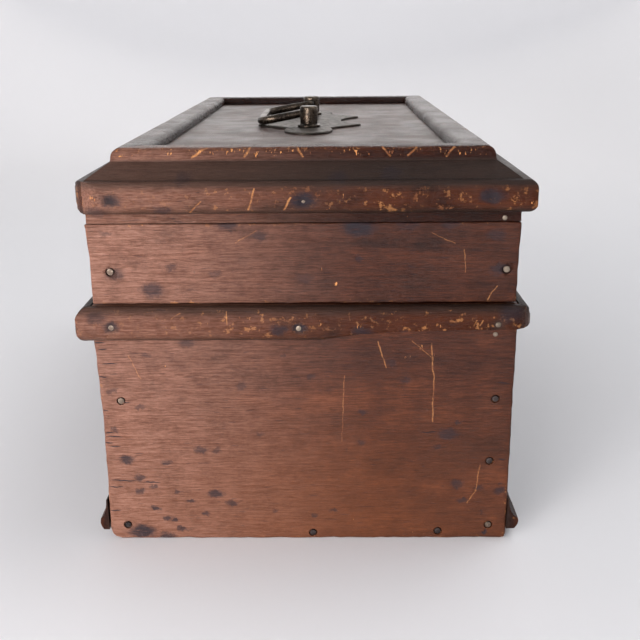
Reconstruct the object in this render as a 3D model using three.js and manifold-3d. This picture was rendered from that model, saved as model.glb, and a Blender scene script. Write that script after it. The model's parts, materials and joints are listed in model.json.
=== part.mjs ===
// A long wooden money box: a nailed base and a deep hinged lid, both edged with mouldings, with a bail
// carrying handle on the lid's sunk panel, a half-mortise lock at the front and a lift-out coin till.
//
// Units are millimetres. The origin is on the underside, below the middle of the box. +Z is up, +Y runs
// along the length from the left end to the right end, and +X is the front, where the lock is.

import * as THREE from 'three';
import { mergeVertices } from 'three/addons/utils/BufferGeometryUtils.js';
import Module from 'manifold-3d';

const wasm = await Module();
wasm.setup();

// ---------------------------------------------------------------- driving dimensions

const BASE = { width: 150, length: 280, height: 92.6, board: 10.5, bottom: 7.5 };
const LID = { width: 148.4, length: 279.2, floor: 93, boardTop: 121.5, board: 9.5, top: 146.2 };

const SEAM = 0.1; // left between glued or nailed pieces
const FIT = 0.3; // left round let-in metalwork and loose pieces

const FOOT = { bottom: 3.8, top: 16.2, projection: 4.8, setback: 0.5, toe: 4.8, coveEdge: 0.8 };
const BEAD = { bottom: 80, projection: 4.9, widest: 86.1, flat: 1.6 };
// The lid frame's section. Heights are from the table, the rest are distances in from the lid's face.
const FRAME = { bottom: 121.7, soffit: 125, nose: 4.9, widest: 130.9, quirk: 136.3, slopeTop: 141.6 };
Object.assign(FRAME, { slope: 7.8, topBead: 11.2, roll: 17.6, inner: 20.5 });
Object.assign(FRAME, { core: 17, groove: 13, lip: 142.7 });
const PANEL = { bottom: 136.4, top: 142.4 };

const HINGE = { spacing: 170, length: 40, knuckle: 2.4, bore: 1.25, pin: 1, leaf: 1.2 };
Object.assign(HINGE, { centre: 14, gap: 0.4, reach: 9.8, tab: 1.6, plate: 2.6 });
HINGE.room = HINGE.knuckle + 0.4; // round the knuckles
HINGE.x = -BASE.width / 2;
HINGE.z = (BASE.height + LID.floor) / 2;

const PLATE = { length: 115, lobe: 10.5, wing: 23.4, waist: 14.5, thickness: 0.9 };
PLATE.bottom = PANEL.top + SEAM;
PLATE.top = PLATE.bottom + PLATE.thickness;

const POST = { spacing: 64, radius: 4, flange: 5.15, stud: 1.9, pivot: 149.3, shoulder: 151.9, top: 152.5 };
Object.assign(POST, { flangeEdge: 0.6, flangeTop: 1.1, studEnd: 1.5, holeDepth: 2.6 });
const NUT = { radius: 4.2, thickness: 2.8 };
const BAIL = { reach: 22.5, halfWidth: 25.4, radius: 1.5, pinEnd: 33.5, droop: 10.5, elbow: 2, corner: 5 };
BAIL.play = 0.35; // round each pin

const LOCK = { halfWidth: 23.5, bottom: 61.2, plate: 1.2, pocket: 7.8, capFront: 7.4, capBack: 6.7 };
LOCK.back = BASE.width / 2 - BASE.board; // inner face of the front board
LOCK.gap = 0.2; // left behind the plate and over its top edge
const BOLT = { back: 3.1, front: 5.3, travel: 6.6, bottom: 70.2, barTop: 80, noseBottom: 83.6, noseTop: 87 };
Object.assign(BOLT, { left: -20.5, neckLeft: -2, neckRight: 3.5, tip: 9.6 });
const SPRING = { left: BOLT.left, right: -4, ends: 84, bow: 77.4, thickness: 0.6 };
const KEY = { z: 66, lead: 21.5, arm: 9, bit: 1.6, shank: 2, tip: 99, collar: [77.4, 78.8] };
const BOW = { rx: 7.5, rz: 9, wall: 2.8, thick: 2.4 };
const KEYHOLE = { radius: 2.6, halfSlot: 1.2, drop: 9.6 };
const ESCUTCHEON = { halfWidth: 8.5, halfHeight: 12.5, thickness: 0.9 };

const TILL = { left: -129.2, right: -24.4, bottom: 60.3, top: 88, floor: 3, wall: 4, divider: 3, low: 5 };
TILL.halfWidth = BASE.width / 2 - BASE.board - FIT - 0.2;
const LEDGE = { bottom: 56, top: 60, width: 5 };

const NAIL = { head: 1.3, headDepth: 0.8, shank: 0.85, length: 21, tip: 3 };
// Places of the nails in the left end, as [name, front-to-back place, height].
const BASE_NAILS = [
  ['nail_base_back_upper', -66.8, 56.6],
  ['nail_base_back_lower', -67.9, 6.1],
  ['nail_base_front_upper', 68.5, 56.9],
  ['nail_base_front_middle', 67.5, 32.3],
  ['nail_base_front_lower', 68.2, 5.8],
];
const BOTTOM_NAILS = [
  ['nail_bottom_middle', 2.2, 2.6],
  ['nail_bottom_front', 49.3, 3.2],
];
const LID_NAILS = [
  ['nail_lid_back', -67.2, 104.7],
  ['nail_lid_front', 70.1, 104.9],
];

// ---------------------------------------------------------------- materials

function finish(color, roughness, metalness) {
  return new THREE.MeshStandardMaterial({ color, roughness, metalness });
}

const STAINED_WOOD = finish(0x6e4030, 0.35, 0);
const MOULDING_WOOD = finish(0x5a2e20, 0.35, 0);
const PLAIN_WOOD = finish(0x8a6444, 0.7, 0);
const AGED_BRASS = finish(0x6b5a34, 0.4, 1);
const LOCK_BRASS = finish(0x9a7b3c, 0.35, 1);
const DARK_IRON = finish(0x3a3632, 0.6, 1);

// ---------------------------------------------------------------- helpers

const model = new THREE.Group();

function add(name, geometry, material, parent = model) {
  const mesh = new THREE.Mesh(geometry, material);
  mesh.name = name;
  parent.add(mesh);
  return mesh;
}

// A box between two limits along each axis.
function block([x0, x1], [y0, y1], [z0, z1]) {
  const geometry = new THREE.BoxGeometry(x1 - x0, y1 - y0, z1 - z0);
  return geometry.translate((x0 + x1) / 2, (y0 + y1) / 2, (z0 + z1) / 2);
}

// A cylinder from one point to another along X, Y or Z.
function rod(axis, radius, [from, to], [a, b], sides = 24) {
  const geometry = new THREE.CylinderGeometry(radius, radius, to - from, sides);
  const middle = (from + to) / 2;
  if (axis === 'x') return geometry.rotateZ(-Math.PI / 2).translate(middle, a, b);
  if (axis === 'y') return geometry.translate(a, middle, b);
  return geometry.rotateX(Math.PI / 2).translate(a, b, middle);
}

function toSolid(geometry) {
  const bare = geometry.clone();
  bare.deleteAttribute('normal');
  bare.deleteAttribute('uv');
  const merged = mergeVertices(bare, 1e-4);
  const vertProperties = Float32Array.from(merged.attributes.position.array);
  const triVerts = Uint32Array.from(merged.index.array);
  return new wasm.Manifold(new wasm.Mesh({ numProp: 3, vertProperties, triVerts }));
}

function toGeometry(body) {
  const mesh = body.getMesh();
  const geometry = new THREE.BufferGeometry();
  geometry.setAttribute('position', new THREE.BufferAttribute(mesh.vertProperties, 3));
  geometry.setIndex(new THREE.BufferAttribute(mesh.triVerts, 1));
  geometry.computeVertexNormals();
  return geometry;
}

function join(first, ...others) {
  return toGeometry(others.reduce((body, other) => body.add(toSolid(other)), toSolid(first)));
}

function cut(first, ...tools) {
  return toGeometry(tools.reduce((body, tool) => body.subtract(toSolid(tool)), toSolid(first)));
}

// A flat shape in the YZ plane, extruded along X between two limits.
function plateAcrossX(shape, [x0, x1], curveSegments = 12) {
  const options = { depth: x1 - x0, bevelEnabled: false, curveSegments };
  const geometry = new THREE.ExtrudeGeometry(shape, options);
  return geometry.rotateX(Math.PI / 2).rotateZ(Math.PI / 2).translate(x0, 0, 0);
}

// ---------------------------------------------------------------- mouldings

// A length of moulding whose ends are mitred outwards. The profile's first number is the distance out
// from the face it is planted on, its second is the height, and halfFace is half that face's length.
function mitredMoulding(profile, halfFace) {
  const options = { depth: 1, bevelEnabled: false, curveSegments: 5 };
  const geometry = new THREE.ExtrudeGeometry(profile, options);
  const position = geometry.attributes.position;
  for (let i = 0; i < position.count; i += 1) {
    const out = position.getX(i);
    const end = position.getZ(i) > 0.5 ? -1 : 1;
    position.setXYZ(i, out, end * (halfFace + out - SEAM), position.getY(i));
  }
  return geometry;
}

// The four sides of a rectangle: the turn that brings a front piece there, how far out its face is, and
// half its face's length.
function fourSides(width, length) {
  return [
    { side: 'front', turn: 0, out: width / 2, halfFace: length / 2 },
    { side: 'right', turn: Math.PI / 2, out: length / 2, halfFace: width / 2 },
    { side: 'back', turn: Math.PI, out: width / 2, halfFace: length / 2 },
    { side: 'left', turn: -Math.PI / 2, out: length / 2, halfFace: width / 2 },
  ];
}

function mouldingRun(prefix, profile, { width, length }, gap, shapeBack) {
  for (const { side, turn, out, halfFace } of fourSides(width, length)) {
    const geometry = mitredMoulding(profile, halfFace);
    geometry.translate(out + gap, 0, 0).rotateZ(turn);
    add(`${prefix}_${side}`, side === 'back' ? shapeBack(geometry) : geometry, MOULDING_WOOD);
  }
}

// The half-round bead along the top edge of the base.
function beadProfile() {
  const { bottom, projection, widest, flat } = BEAD;
  const top = BASE.height;
  const shape = new THREE.Shape();
  shape.moveTo(0, bottom);
  shape.lineTo(flat / 2, bottom + 0.1);
  shape.quadraticCurveTo(projection, bottom + 0.4, projection, widest);
  shape.quadraticCurveTo(projection, top - 1.2, flat, top);
  shape.lineTo(0, top);
  return shape;
}

// The small foot moulding: a half-round toe below a cove.
function footProfile() {
  const { bottom, top, projection, toe, coveEdge } = FOOT;
  const shape = new THREE.Shape();
  shape.moveTo(0, bottom);
  shape.lineTo(projection - 1.6, bottom);
  shape.quadraticCurveTo(projection + 0.6, bottom + toe / 2, projection - 0.4, bottom + toe);
  shape.quadraticCurveTo(coveEdge + 0.4, bottom + toe + 1.2, coveEdge, top);
  shape.lineTo(0, top);
  return shape;
}

// The lid's frame: a nose that overhangs the lid's face, a quirk, a straight slope, a top bead and a flat
// top that rolls down to the panel, with a groove below the roll that holds the panel's edge.
function frameProfile() {
  const { bottom, soffit, nose, widest, quirk, slope, slopeTop, topBead, roll } = FRAME;
  const { inner, core, groove, lip } = FRAME;
  const grooveFloor = PANEL.bottom - FIT;
  const shape = new THREE.Shape();
  shape.moveTo(0, bottom);
  shape.lineTo(0, soffit);
  shape.lineTo(1.2, soffit + 0.1);
  shape.quadraticCurveTo(nose, soffit + 0.4, nose, widest);
  shape.quadraticCurveTo(nose - 0.2, quirk + 0.7, 0.6, quirk);
  shape.lineTo(0, quirk - 0.1);
  shape.lineTo(-slope, slopeTop);
  shape.lineTo(-slope - 0.2, slopeTop + 1);
  shape.quadraticCurveTo(-slope - 0.4, LID.top, -topBead, LID.top);
  shape.lineTo(-roll, LID.top);
  shape.quadraticCurveTo(-inner, LID.top, -inner, lip);
  shape.lineTo(-groove, lip);
  shape.lineTo(-groove, grooveFloor);
  shape.lineTo(-core, grooveFloor);
  shape.lineTo(-core, bottom);
  return shape;
}

// ---------------------------------------------------------------- recesses and drillings

function hingePlaces() {
  return [
    ['left', -HINGE.spacing / 2],
    ['right', HINGE.spacing / 2],
  ];
}

// Room for both hinges: under the base leaves when below, over the lid leaves when above.
function hingeRecesses(level) {
  const { x, z, length, knuckle, leaf, reach, room } = HINGE;
  const outside = x - BEAD.projection - 3;
  const up = level === 'above' ? 1 : -1;
  const span = (a, b) => [Math.min(z + up * a, z + up * b), Math.max(z + up * a, z + up * b)];
  const recesses = [];
  for (const [, y] of hingePlaces()) {
    const along = [y - length / 2 - FIT, y + length / 2 + FIT];
    const leafRoom = block([x + knuckle, x + reach + FIT], along, span(-1, leaf + 2 * FIT));
    const knuckleRoom = block([outside, x + room], along, span(-1, room));
    recesses.push(leafRoom, knuckleRoom);
  }
  return recesses;
}

function nailHole([, x, z], face, depth) {
  const shank = rod('y', NAIL.shank + FIT, [face - 1, face + depth], [x, z], 12);
  const head = rod('y', NAIL.head + FIT, [face - 1, face + NAIL.headDepth + FIT], [x, z], 12);
  return [shank, head];
}

function nailHoles(nails, face) {
  return nails.flatMap((nail) => nailHole(nail, face, NAIL.length + 1));
}

function keyholeShape() {
  const { radius, halfSlot, drop } = KEYHOLE;
  const shape = new THREE.Shape();
  const opening = Math.asin(halfSlot / radius);
  shape.absarc(0, KEY.z, radius, -Math.PI / 2 + opening, (Math.PI * 3) / 2 - opening, false);
  shape.lineTo(-halfSlot, KEY.z - drop);
  shape.lineTo(halfSlot, KEY.z - drop);
  return shape;
}

// ---------------------------------------------------------------- base

function baseBox() {
  const { width, length, height, board, bottom } = BASE;
  const w = width / 2;
  const l = length / 2;
  const between = [-l + board + SEAM, l - board - SEAM];
  const up = [0, height];

  const leftNails = nailHoles([...BASE_NAILS, ...BOTTOM_NAILS], -l);
  add('base_left_end', cut(block([-w, w], [-l, -l + board], up), ...leftNails), STAINED_WOOD);
  add('base_right_end', block([-w, w], [l - board, l], up), STAINED_WOOD);

  const pocket = block(
    [LOCK.back - 1, LOCK.back + LOCK.pocket],
    [-LOCK.halfWidth - FIT, LOCK.halfWidth + FIT],
    [LOCK.bottom - FIT, height + 1],
  );
  const keyhole = plateAcrossX(keyholeShape(), [w - 5, w + 1]);
  const frontNails = nailHoles(BASE_NAILS.slice(2), -l);
  const front = block([w - board, w], between, up);
  add('base_front_board', cut(front, pocket, keyhole, ...frontNails), STAINED_WOOD);

  const backNails = nailHoles(BASE_NAILS.slice(0, 2), -l);
  const back = block([-w, -w + board], between, up);
  add('base_back_board', cut(back, ...hingeRecesses('below'), ...backNails), STAINED_WOOD);

  const floor = block([-w + board + SEAM, w - board - SEAM], between, [0, bottom]);
  add('bottom_board', cut(floor, ...nailHoles(BOTTOM_NAILS, -l)), PLAIN_WOOD);
}

function baseMouldings() {
  mouldingRun('base_bead', beadProfile(), BASE, SEAM, (g) => cut(g, ...hingeRecesses('below')));
  const run = BASE.length - 2 * FOOT.setback;
  for (const [side, turn] of [['front', 0], ['back', Math.PI]]) {
    const options = { depth: run, bevelEnabled: false, curveSegments: 5 };
    const geometry = new THREE.ExtrudeGeometry(footProfile(), options);
    geometry.rotateX(Math.PI / 2).translate(BASE.width / 2 + SEAM, run / 2, 0).rotateZ(turn);
    add(`foot_moulding_${side}`, geometry, MOULDING_WOOD);
  }
}

function nail([name, x, z], face) {
  const { head, headDepth, shank, length, tip } = NAIL;
  const profile = [
    new THREE.Vector2(0, -length),
    new THREE.Vector2(shank, -length + tip),
    new THREE.Vector2(shank, -headDepth),
    new THREE.Vector2(head, -headDepth),
    new THREE.Vector2(head, -0.15),
    new THREE.Vector2(head * 0.7, 0),
    new THREE.Vector2(0, 0),
  ];
  const geometry = new THREE.LatheGeometry(profile, 10).rotateX(Math.PI).translate(x, face, z);
  add(name, geometry, DARK_IRON);
}

function nails() {
  [...BASE_NAILS, ...BOTTOM_NAILS].forEach((place) => nail(place, -BASE.length / 2));
  LID_NAILS.forEach((place) => nail(place, -LID.length / 2));
}

// ---------------------------------------------------------------- coin till

function till() {
  const { left, right, bottom, top, floor, wall, divider, low, halfWidth } = TILL;
  const inside = halfWidth - wall;
  const onFloor = [bottom + floor + SEAM, top];
  const wellHeight = [bottom + floor + SEAM, top - low];
  const between = [left + wall + SEAM, right - wall - SEAM];

  add('till_bottom', block([-halfWidth, halfWidth], [left, right], [bottom, bottom + floor]), PLAIN_WOOD);
  add('till_left_end', block([-halfWidth, halfWidth], [left, left + wall], onFloor), PLAIN_WOOD);
  add('till_right_end', block([-halfWidth, halfWidth], [right - wall, right], onFloor), PLAIN_WOOD);
  add('till_front_side', block([inside, halfWidth], between, onFloor), PLAIN_WOOD);
  add('till_back_side', block([-halfWidth, -inside], between, onFloor), PLAIN_WOOD);
  add('till_long_divider', block([-divider / 2, divider / 2], between, wellHeight), PLAIN_WOOD);

  const across = [divider / 2 + SEAM, inside - SEAM];
  const third = (between[1] - between[0]) / 3;
  for (const [name, count] of [['till_divider_left', 1], ['till_divider_right', 2]]) {
    const y = between[0] + count * third;
    add(name, block(across, [y - divider / 2, y + divider / 2], wellHeight), PLAIN_WOOD);
  }
}

function tillLedges() {
  const wall = BASE.width / 2 - BASE.board - SEAM;
  const along = [TILL.left, TILL.right];
  const up = [LEDGE.bottom, LEDGE.top];
  add('till_ledge_front', block([wall - LEDGE.width, wall], along, up), PLAIN_WOOD);
  add('till_ledge_back', block([-wall, -wall + LEDGE.width], along, up), PLAIN_WOOD);
}

// ---------------------------------------------------------------- lid

function lidBox() {
  const { width, length, floor, boardTop, board } = LID;
  const w = width / 2;
  const l = length / 2;
  const between = [-l + board + SEAM, l - board - SEAM];
  const up = [floor, boardTop];

  const left = block([-w, w], [-l, -l + board], up);
  add('lid_left_end', cut(left, ...nailHoles(LID_NAILS, -l)), STAINED_WOOD);
  add('lid_right_end', block([-w, w], [l - board, l], up), STAINED_WOOD);

  const linkRecess = block(
    [w - board - 1, LOCK.back + LOCK.capFront + FIT],
    [-LOCK.halfWidth - FIT, LOCK.halfWidth + FIT],
    [floor - 1, floor + LOCK.plate + 2 * FIT],
  );
  const front = block([w - board, w], between, up);
  add('lid_front_board', cut(front, linkRecess, ...nailHoles(LID_NAILS.slice(1), -l)), STAINED_WOOD);

  const back = block([-w, -w + board], between, up);
  const backTools = [...hingeRecesses('above'), ...nailHoles(LID_NAILS.slice(0, 1), -l)];
  add('lid_back_board', cut(back, ...backTools), STAINED_WOOD);

  mouldingRun('lid_moulding', frameProfile(), LID, 0, (g) => g);
}

function studHoles(bottom, top) {
  const hole = (y) => rod('z', POST.stud + FIT, [bottom - 1, top + 1], [0, y], 16);
  return [hole(-POST.spacing / 2), hole(POST.spacing / 2)];
}

function lidPanel() {
  const halfWidth = LID.width / 2 - FRAME.groove - FIT;
  const halfLength = LID.length / 2 - FRAME.groove - FIT;
  const { bottom, top } = PANEL;
  const panel = block([-halfWidth, halfWidth], [-halfLength, halfLength], [bottom, top]);
  add('lid_panel', cut(panel, ...studHoles(bottom, top)), STAINED_WOOD);
}

// ---------------------------------------------------------------- hinges

// A leaf with its knuckles round the pin. Each knuckle is given by its two limits along the pin.
function hingeLeaf(plateHeight, knuckles) {
  const { x, z, length, knuckle, bore, reach, tab } = HINGE;
  const plate = block([x + HINGE.plate, x + reach], [-length / 2, length / 2], plateHeight);
  const rounds = knuckles.map((along) => rod('y', knuckle, along, [x, z]));
  const tabs = knuckles.map((along) => block([x + tab, x + HINGE.plate + 0.8], along, plateHeight));
  const pinHole = rod('y', bore, [-length, length], [x, z]);
  return cut(join(plate, ...rounds, ...tabs), pinHole);
}

function hinges() {
  const { x, z, length, pin, leaf, centre, gap } = HINGE;
  const outer = [[-length / 2, -centre / 2 - gap], [centre / 2 + gap, length / 2]];
  const baseLeaf = hingeLeaf([z - FIT - leaf, z - FIT], outer);
  const lidLeaf = hingeLeaf([z + FIT, z + FIT + leaf], [[-centre / 2, centre / 2]]);
  for (const [side, y] of hingePlaces()) {
    add(`hinge_${side}_base_leaf`, baseLeaf, AGED_BRASS).position.y = y;
    add(`hinge_${side}_lid_leaf`, lidLeaf, AGED_BRASS).position.y = y;
    const rodAlong = rod('y', pin, [-length / 2, length / 2], [x, z], 16);
    add(`hinge_${side}_pin`, rodAlong, AGED_BRASS).position.y = y;
  }
}

// ---------------------------------------------------------------- carrying handle

// One quarter of the plate's outline, from the middle of a long side to the tip of the end lobe, signed
// for the quarter it belongs to. The wing is a point between two hollow curves.
function plateQuarter(shape, sx, sy, outward) {
  const { length, lobe, wing, waist } = PLATE;
  const end = length / 2;
  const line = [
    ['to', waist, 0],
    ['curve', waist + 0.6, 12, wing, 20],
    ['curve', 15.6, 26.4, 9.4, 35],
    ['curve', 10.2, 37, lobe, 43],
    ['curve', lobe - 0.5, end - 4.5, 4.6, end - 1.6],
    ['curve', 1.6, end, 0, end],
  ];
  if (outward) {
    line.slice(1).forEach(([, cx, cy, x, y]) => shape.quadraticCurveTo(sx * cx, sy * cy, sx * x, sy * y));
    return;
  }
  for (let i = line.length - 1; i > 0; i -= 1) {
    const [, cx, cy] = line[i];
    const [x, y] = line[i - 1].slice(-2);
    shape.quadraticCurveTo(sx * cx, sy * cy, sx * x, sy * y);
  }
}

function handlePlate() {
  const shape = new THREE.Shape();
  shape.moveTo(PLATE.waist, 0);
  plateQuarter(shape, 1, 1, true);
  plateQuarter(shape, -1, 1, false);
  plateQuarter(shape, -1, -1, true);
  plateQuarter(shape, 1, -1, false);
  const options = { depth: PLATE.thickness, bevelEnabled: false, curveSegments: 5 };
  const plate = new THREE.ExtrudeGeometry(shape, options).translate(0, 0, PLATE.bottom);
  add('handle_backplate', cut(plate, ...studHoles(PLATE.bottom, PLATE.top)), AGED_BRASS);
}

function handlePost(name, sy) {
  const { radius, flange, stud, pivot, shoulder, top, spacing } = POST;
  const foot = PLATE.top + SEAM;
  const studFoot = PANEL.bottom - SEAM - NUT.thickness - POST.studEnd;
  const profile = new THREE.Path();
  profile.moveTo(0, studFoot);
  profile.lineTo(stud, studFoot);
  profile.lineTo(stud, foot);
  profile.lineTo(flange, foot);
  profile.lineTo(flange, foot + POST.flangeEdge);
  profile.lineTo(radius, foot + POST.flangeTop);
  profile.lineTo(radius, shoulder);
  profile.quadraticCurveTo(radius - 0.1, top - 0.1, radius - 0.8, top);
  profile.lineTo(0, top);
  const post = new THREE.LatheGeometry(profile.getPoints(5), 24).rotateX(Math.PI / 2);
  const y = (sy * spacing) / 2;
  const hole = [y - 2 * radius * sy, y + POST.holeDepth * sy].sort((a, b) => a - b);
  const pinHole = rod('y', BAIL.radius + BAIL.play, hole, [0, pivot], 16);
  add(name, cut(post.translate(0, y, 0), pinHole), AGED_BRASS);
}

function handleNut(name, sy) {
  const top = PANEL.bottom - SEAM;
  const height = [top - NUT.thickness, top];
  const centre = [0, (sy * POST.spacing) / 2];
  const nut = rod('z', NUT.radius, height, centre, 6);
  add(name, cut(nut, rod('z', POST.stud + FIT, [height[0] - 1, top + 1], centre, 16)), DARK_IRON);
}

// The bail's centre line, flat, with its pins on the Y axis and its grip out along -X.
function bailPath() {
  const { reach, halfWidth, pinEnd, elbow: tight, corner: wide } = BAIL;
  const path = new THREE.CurvePath();
  const at = (x, y) => new THREE.Vector3(x, y, 0);
  const straight = (a, b) => path.add(new THREE.LineCurve3(a, b));
  const corner = (a, b, c) => path.add(new THREE.QuadraticBezierCurve3(a, b, c));
  straight(at(0, pinEnd), at(0, halfWidth + tight));
  corner(at(0, halfWidth + tight), at(0, halfWidth), at(-tight, halfWidth));
  straight(at(-tight, halfWidth), at(-reach + wide, halfWidth));
  corner(at(-reach + wide, halfWidth), at(-reach, halfWidth), at(-reach, halfWidth - wide));
  straight(at(-reach, halfWidth - wide), at(-reach, -halfWidth + wide));
  corner(at(-reach, -halfWidth + wide), at(-reach, -halfWidth), at(-reach + wide, -halfWidth));
  straight(at(-reach + wide, -halfWidth), at(-tight, -halfWidth));
  corner(at(-tight, -halfWidth), at(0, -halfWidth), at(0, -halfWidth - tight));
  straight(at(0, -halfWidth - tight), at(0, -pinEnd));
  return path;
}

function bail() {
  const section = new THREE.Shape();
  section.absarc(0, 0, BAIL.radius, 0, Math.PI * 2, false);
  const options = { steps: 64, curveSegments: 5, extrudePath: bailPath(), bevelEnabled: false };
  const lying = new THREE.Group();
  lying.position.z = POST.pivot;
  lying.rotation.y = THREE.MathUtils.degToRad(-BAIL.droop);
  model.add(lying);
  add('handle_bail', new THREE.ExtrudeGeometry(section, options), AGED_BRASS, lying);
}

function handle() {
  handlePlate();
  for (const [side, sy] of [['left', -1], ['right', 1]]) {
    handlePost(`handle_post_${side}`, sy);
    handleNut(`handle_nut_${side}`, sy);
  }
  bail();
}

// ---------------------------------------------------------------- lock and key

const fromBack = (near, far) => [LOCK.back + near, LOCK.back + far];
const LUG = { toe: [10.3, 17.6], stem: [17.2, 20.2], bottom: 79.8, toeTop: 83.2 };
const STUD = { y: -10, z: 76.5, radius: 1.1 };
LOCK.slot = [2.7, 6.5];

// The plate seen inside the box, bent over at the top edge, with the stud that guides the bolt.
function lockPlate() {
  const { halfWidth, bottom, plate, capFront, capBack } = LOCK;
  const { gap, slot: lugSlot } = LOCK;
  const top = BASE.height - gap;
  const across = [-halfWidth, halfWidth];
  const upright = block(fromBack(gap, gap + plate), across, [bottom, top]);
  const edge = block(fromBack(gap, capFront), across, [top - plate, top]);
  const stud = rod('x', STUD.radius, fromBack(1, capBack - SEAM), [STUD.y, STUD.z], 12);
  const slot = block(fromBack(...lugSlot), [LUG.toe[0] - 0.4, LUG.stem[1] + 0.4], [top - 3, top + 1]);
  add('lock_plate', cut(join(upright, edge, stud), slot), LOCK_BRASS);
}

function lockCap() {
  const { halfWidth, bottom, plate, capFront, capBack } = LOCK;
  const height = [bottom, BASE.height - plate - 2 * LOCK.gap];
  const cap = block(fromBack(capBack, capFront), [-halfWidth, halfWidth], height);
  add('lock_cap', cut(cap, plateAcrossX(keyholeShape(), fromBack(6, 8))), LOCK_BRASS);
}

function polygon(points) {
  return new THREE.Shape(points.map(([y, z]) => new THREE.Vector2(y, z)));
}

// The bolt, drawn back. The key's bit works in the notch below, and the nose shoots to the right.
function lockBolt() {
  const { back, front, travel, bottom, barTop, noseBottom, noseTop } = BOLT;
  const { left, neckLeft, neckRight, tip } = BOLT;
  const notch = { y: -travel / 2, half: 2.7, top: 75.6 };
  const outline = polygon([
    [left, bottom],
    [notch.y - notch.half, bottom],
    [notch.y - notch.half, notch.top],
    [notch.y + notch.half, notch.top],
    [notch.y + notch.half, bottom],
    [neckRight, bottom],
    [neckRight, noseBottom],
    [tip, noseBottom],
    [tip, noseTop],
    [neckLeft, noseTop],
    [neckLeft, barTop],
    [left, barTop],
  ]);
  const clear = STUD.radius + FIT;
  const slot = block(
    fromBack(back - 1, front + 1),
    [STUD.y - travel - clear, STUD.y + clear],
    [STUD.z - clear, STUD.z + clear],
  );
  add('lock_bolt', cut(plateAcrossX(outline, fromBack(back, front)), slot), LOCK_BRASS);
}

// A bowed leaf spring that presses down on the bolt.
function lockSpring() {
  const { left, right, ends, bow, thickness } = SPRING;
  const middle = (left + right) / 2;
  const shape = new THREE.Shape();
  shape.moveTo(left, ends);
  shape.quadraticCurveTo(middle, bow, right, ends);
  shape.lineTo(right, ends + thickness);
  shape.quadraticCurveTo(middle, bow + thickness, left, ends + thickness);
  add('lock_spring', plateAcrossX(shape, fromBack(BOLT.back + 0.3, BOLT.front - 0.3), 8), LOCK_BRASS);
}

// The link plate in the lid's edge, with a toe that the bolt's nose shoots over.
function linkPlate() {
  const { halfWidth, plate, capFront } = LOCK;
  const bottom = LID.floor + LOCK.gap;
  const sheet = block(fromBack(2 * LOCK.gap, capFront), [-halfWidth, halfWidth], [bottom, bottom + plate]);
  const depth = fromBack(BOLT.back, BOLT.front);
  const stem = block(depth, LUG.stem, [LUG.bottom, bottom + 1]);
  const toe = block(depth, LUG.toe, [LUG.bottom, LUG.toeTop]);
  add('lock_link_plate', join(sheet, stem, toe), LOCK_BRASS);
}

function escutcheon() {
  const { halfWidth, halfHeight, thickness } = ESCUTCHEON;
  const face = BASE.width / 2 + SEAM;
  const shape = new THREE.Shape();
  shape.absellipse(0, KEY.z, halfWidth, halfHeight, 0, Math.PI * 2);
  const plate = plateAcrossX(shape, [face, face + thickness]);
  add('escutcheon', cut(plate, plateAcrossX(keyholeShape(), [face - 1, face + 2])), LOCK_BRASS);
}

// The key, in the lock, with its bit up in the bolt's notch and leaning back by half of its turn.
function key() {
  const [bitBack, bitFront] = fromBack(BOLT.back, BOLT.front);
  const turned = new THREE.Group();
  turned.position.z = KEY.z;
  turned.rotation.x = THREE.MathUtils.degToRad(KEY.lead);
  model.add(turned);

  const { rx, rz, wall, thick } = BOW;
  const ring = new THREE.Shape();
  ring.absellipse(KEY.tip - rx, 0, rx, rz, 0, Math.PI * 2);
  const eye = new THREE.Path();
  eye.absellipse(KEY.tip - rx, 0, rx - wall, rz - wall, 0, Math.PI * 2);
  ring.holes.push(eye);
  const options = { depth: thick, bevelEnabled: false, curveSegments: 12 };
  const ringSolid = new THREE.ExtrudeGeometry(ring, options).rotateX(Math.PI / 2);
  ringSolid.translate(0, thick / 2, 0);

  const shank = rod('x', KEY.shank, [bitBack - 1.2, KEY.tip - 2 * rx + 1], [0, 0], 16);
  const collar = rod('x', KEY.shank + 1.2, KEY.collar, [0, 0], 16);
  const bit = block([bitBack, bitFront], [-KEY.bit / 2, KEY.bit / 2], [0, KEY.arm]);
  add('key', join(shank, collar, bit, ringSolid), DARK_IRON, turned);
}

function lock() {
  lockPlate();
  lockCap();
  lockBolt();
  lockSpring();
  linkPlate();
  escutcheon();
  key();
}

// ---------------------------------------------------------------- assembly

baseBox();
baseMouldings();
nails();
tillLedges();
till();
lidBox();
lidPanel();
hinges();
handle();
lock();

export default model;
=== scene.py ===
"""The looks of an old wooden money box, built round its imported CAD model.

Shapes are written in millimetres, in the model's own frame, and turned into metres when a mesh is made.
"""
import json
import math

import bpy
from mathutils import Matrix, Vector, noise


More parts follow.
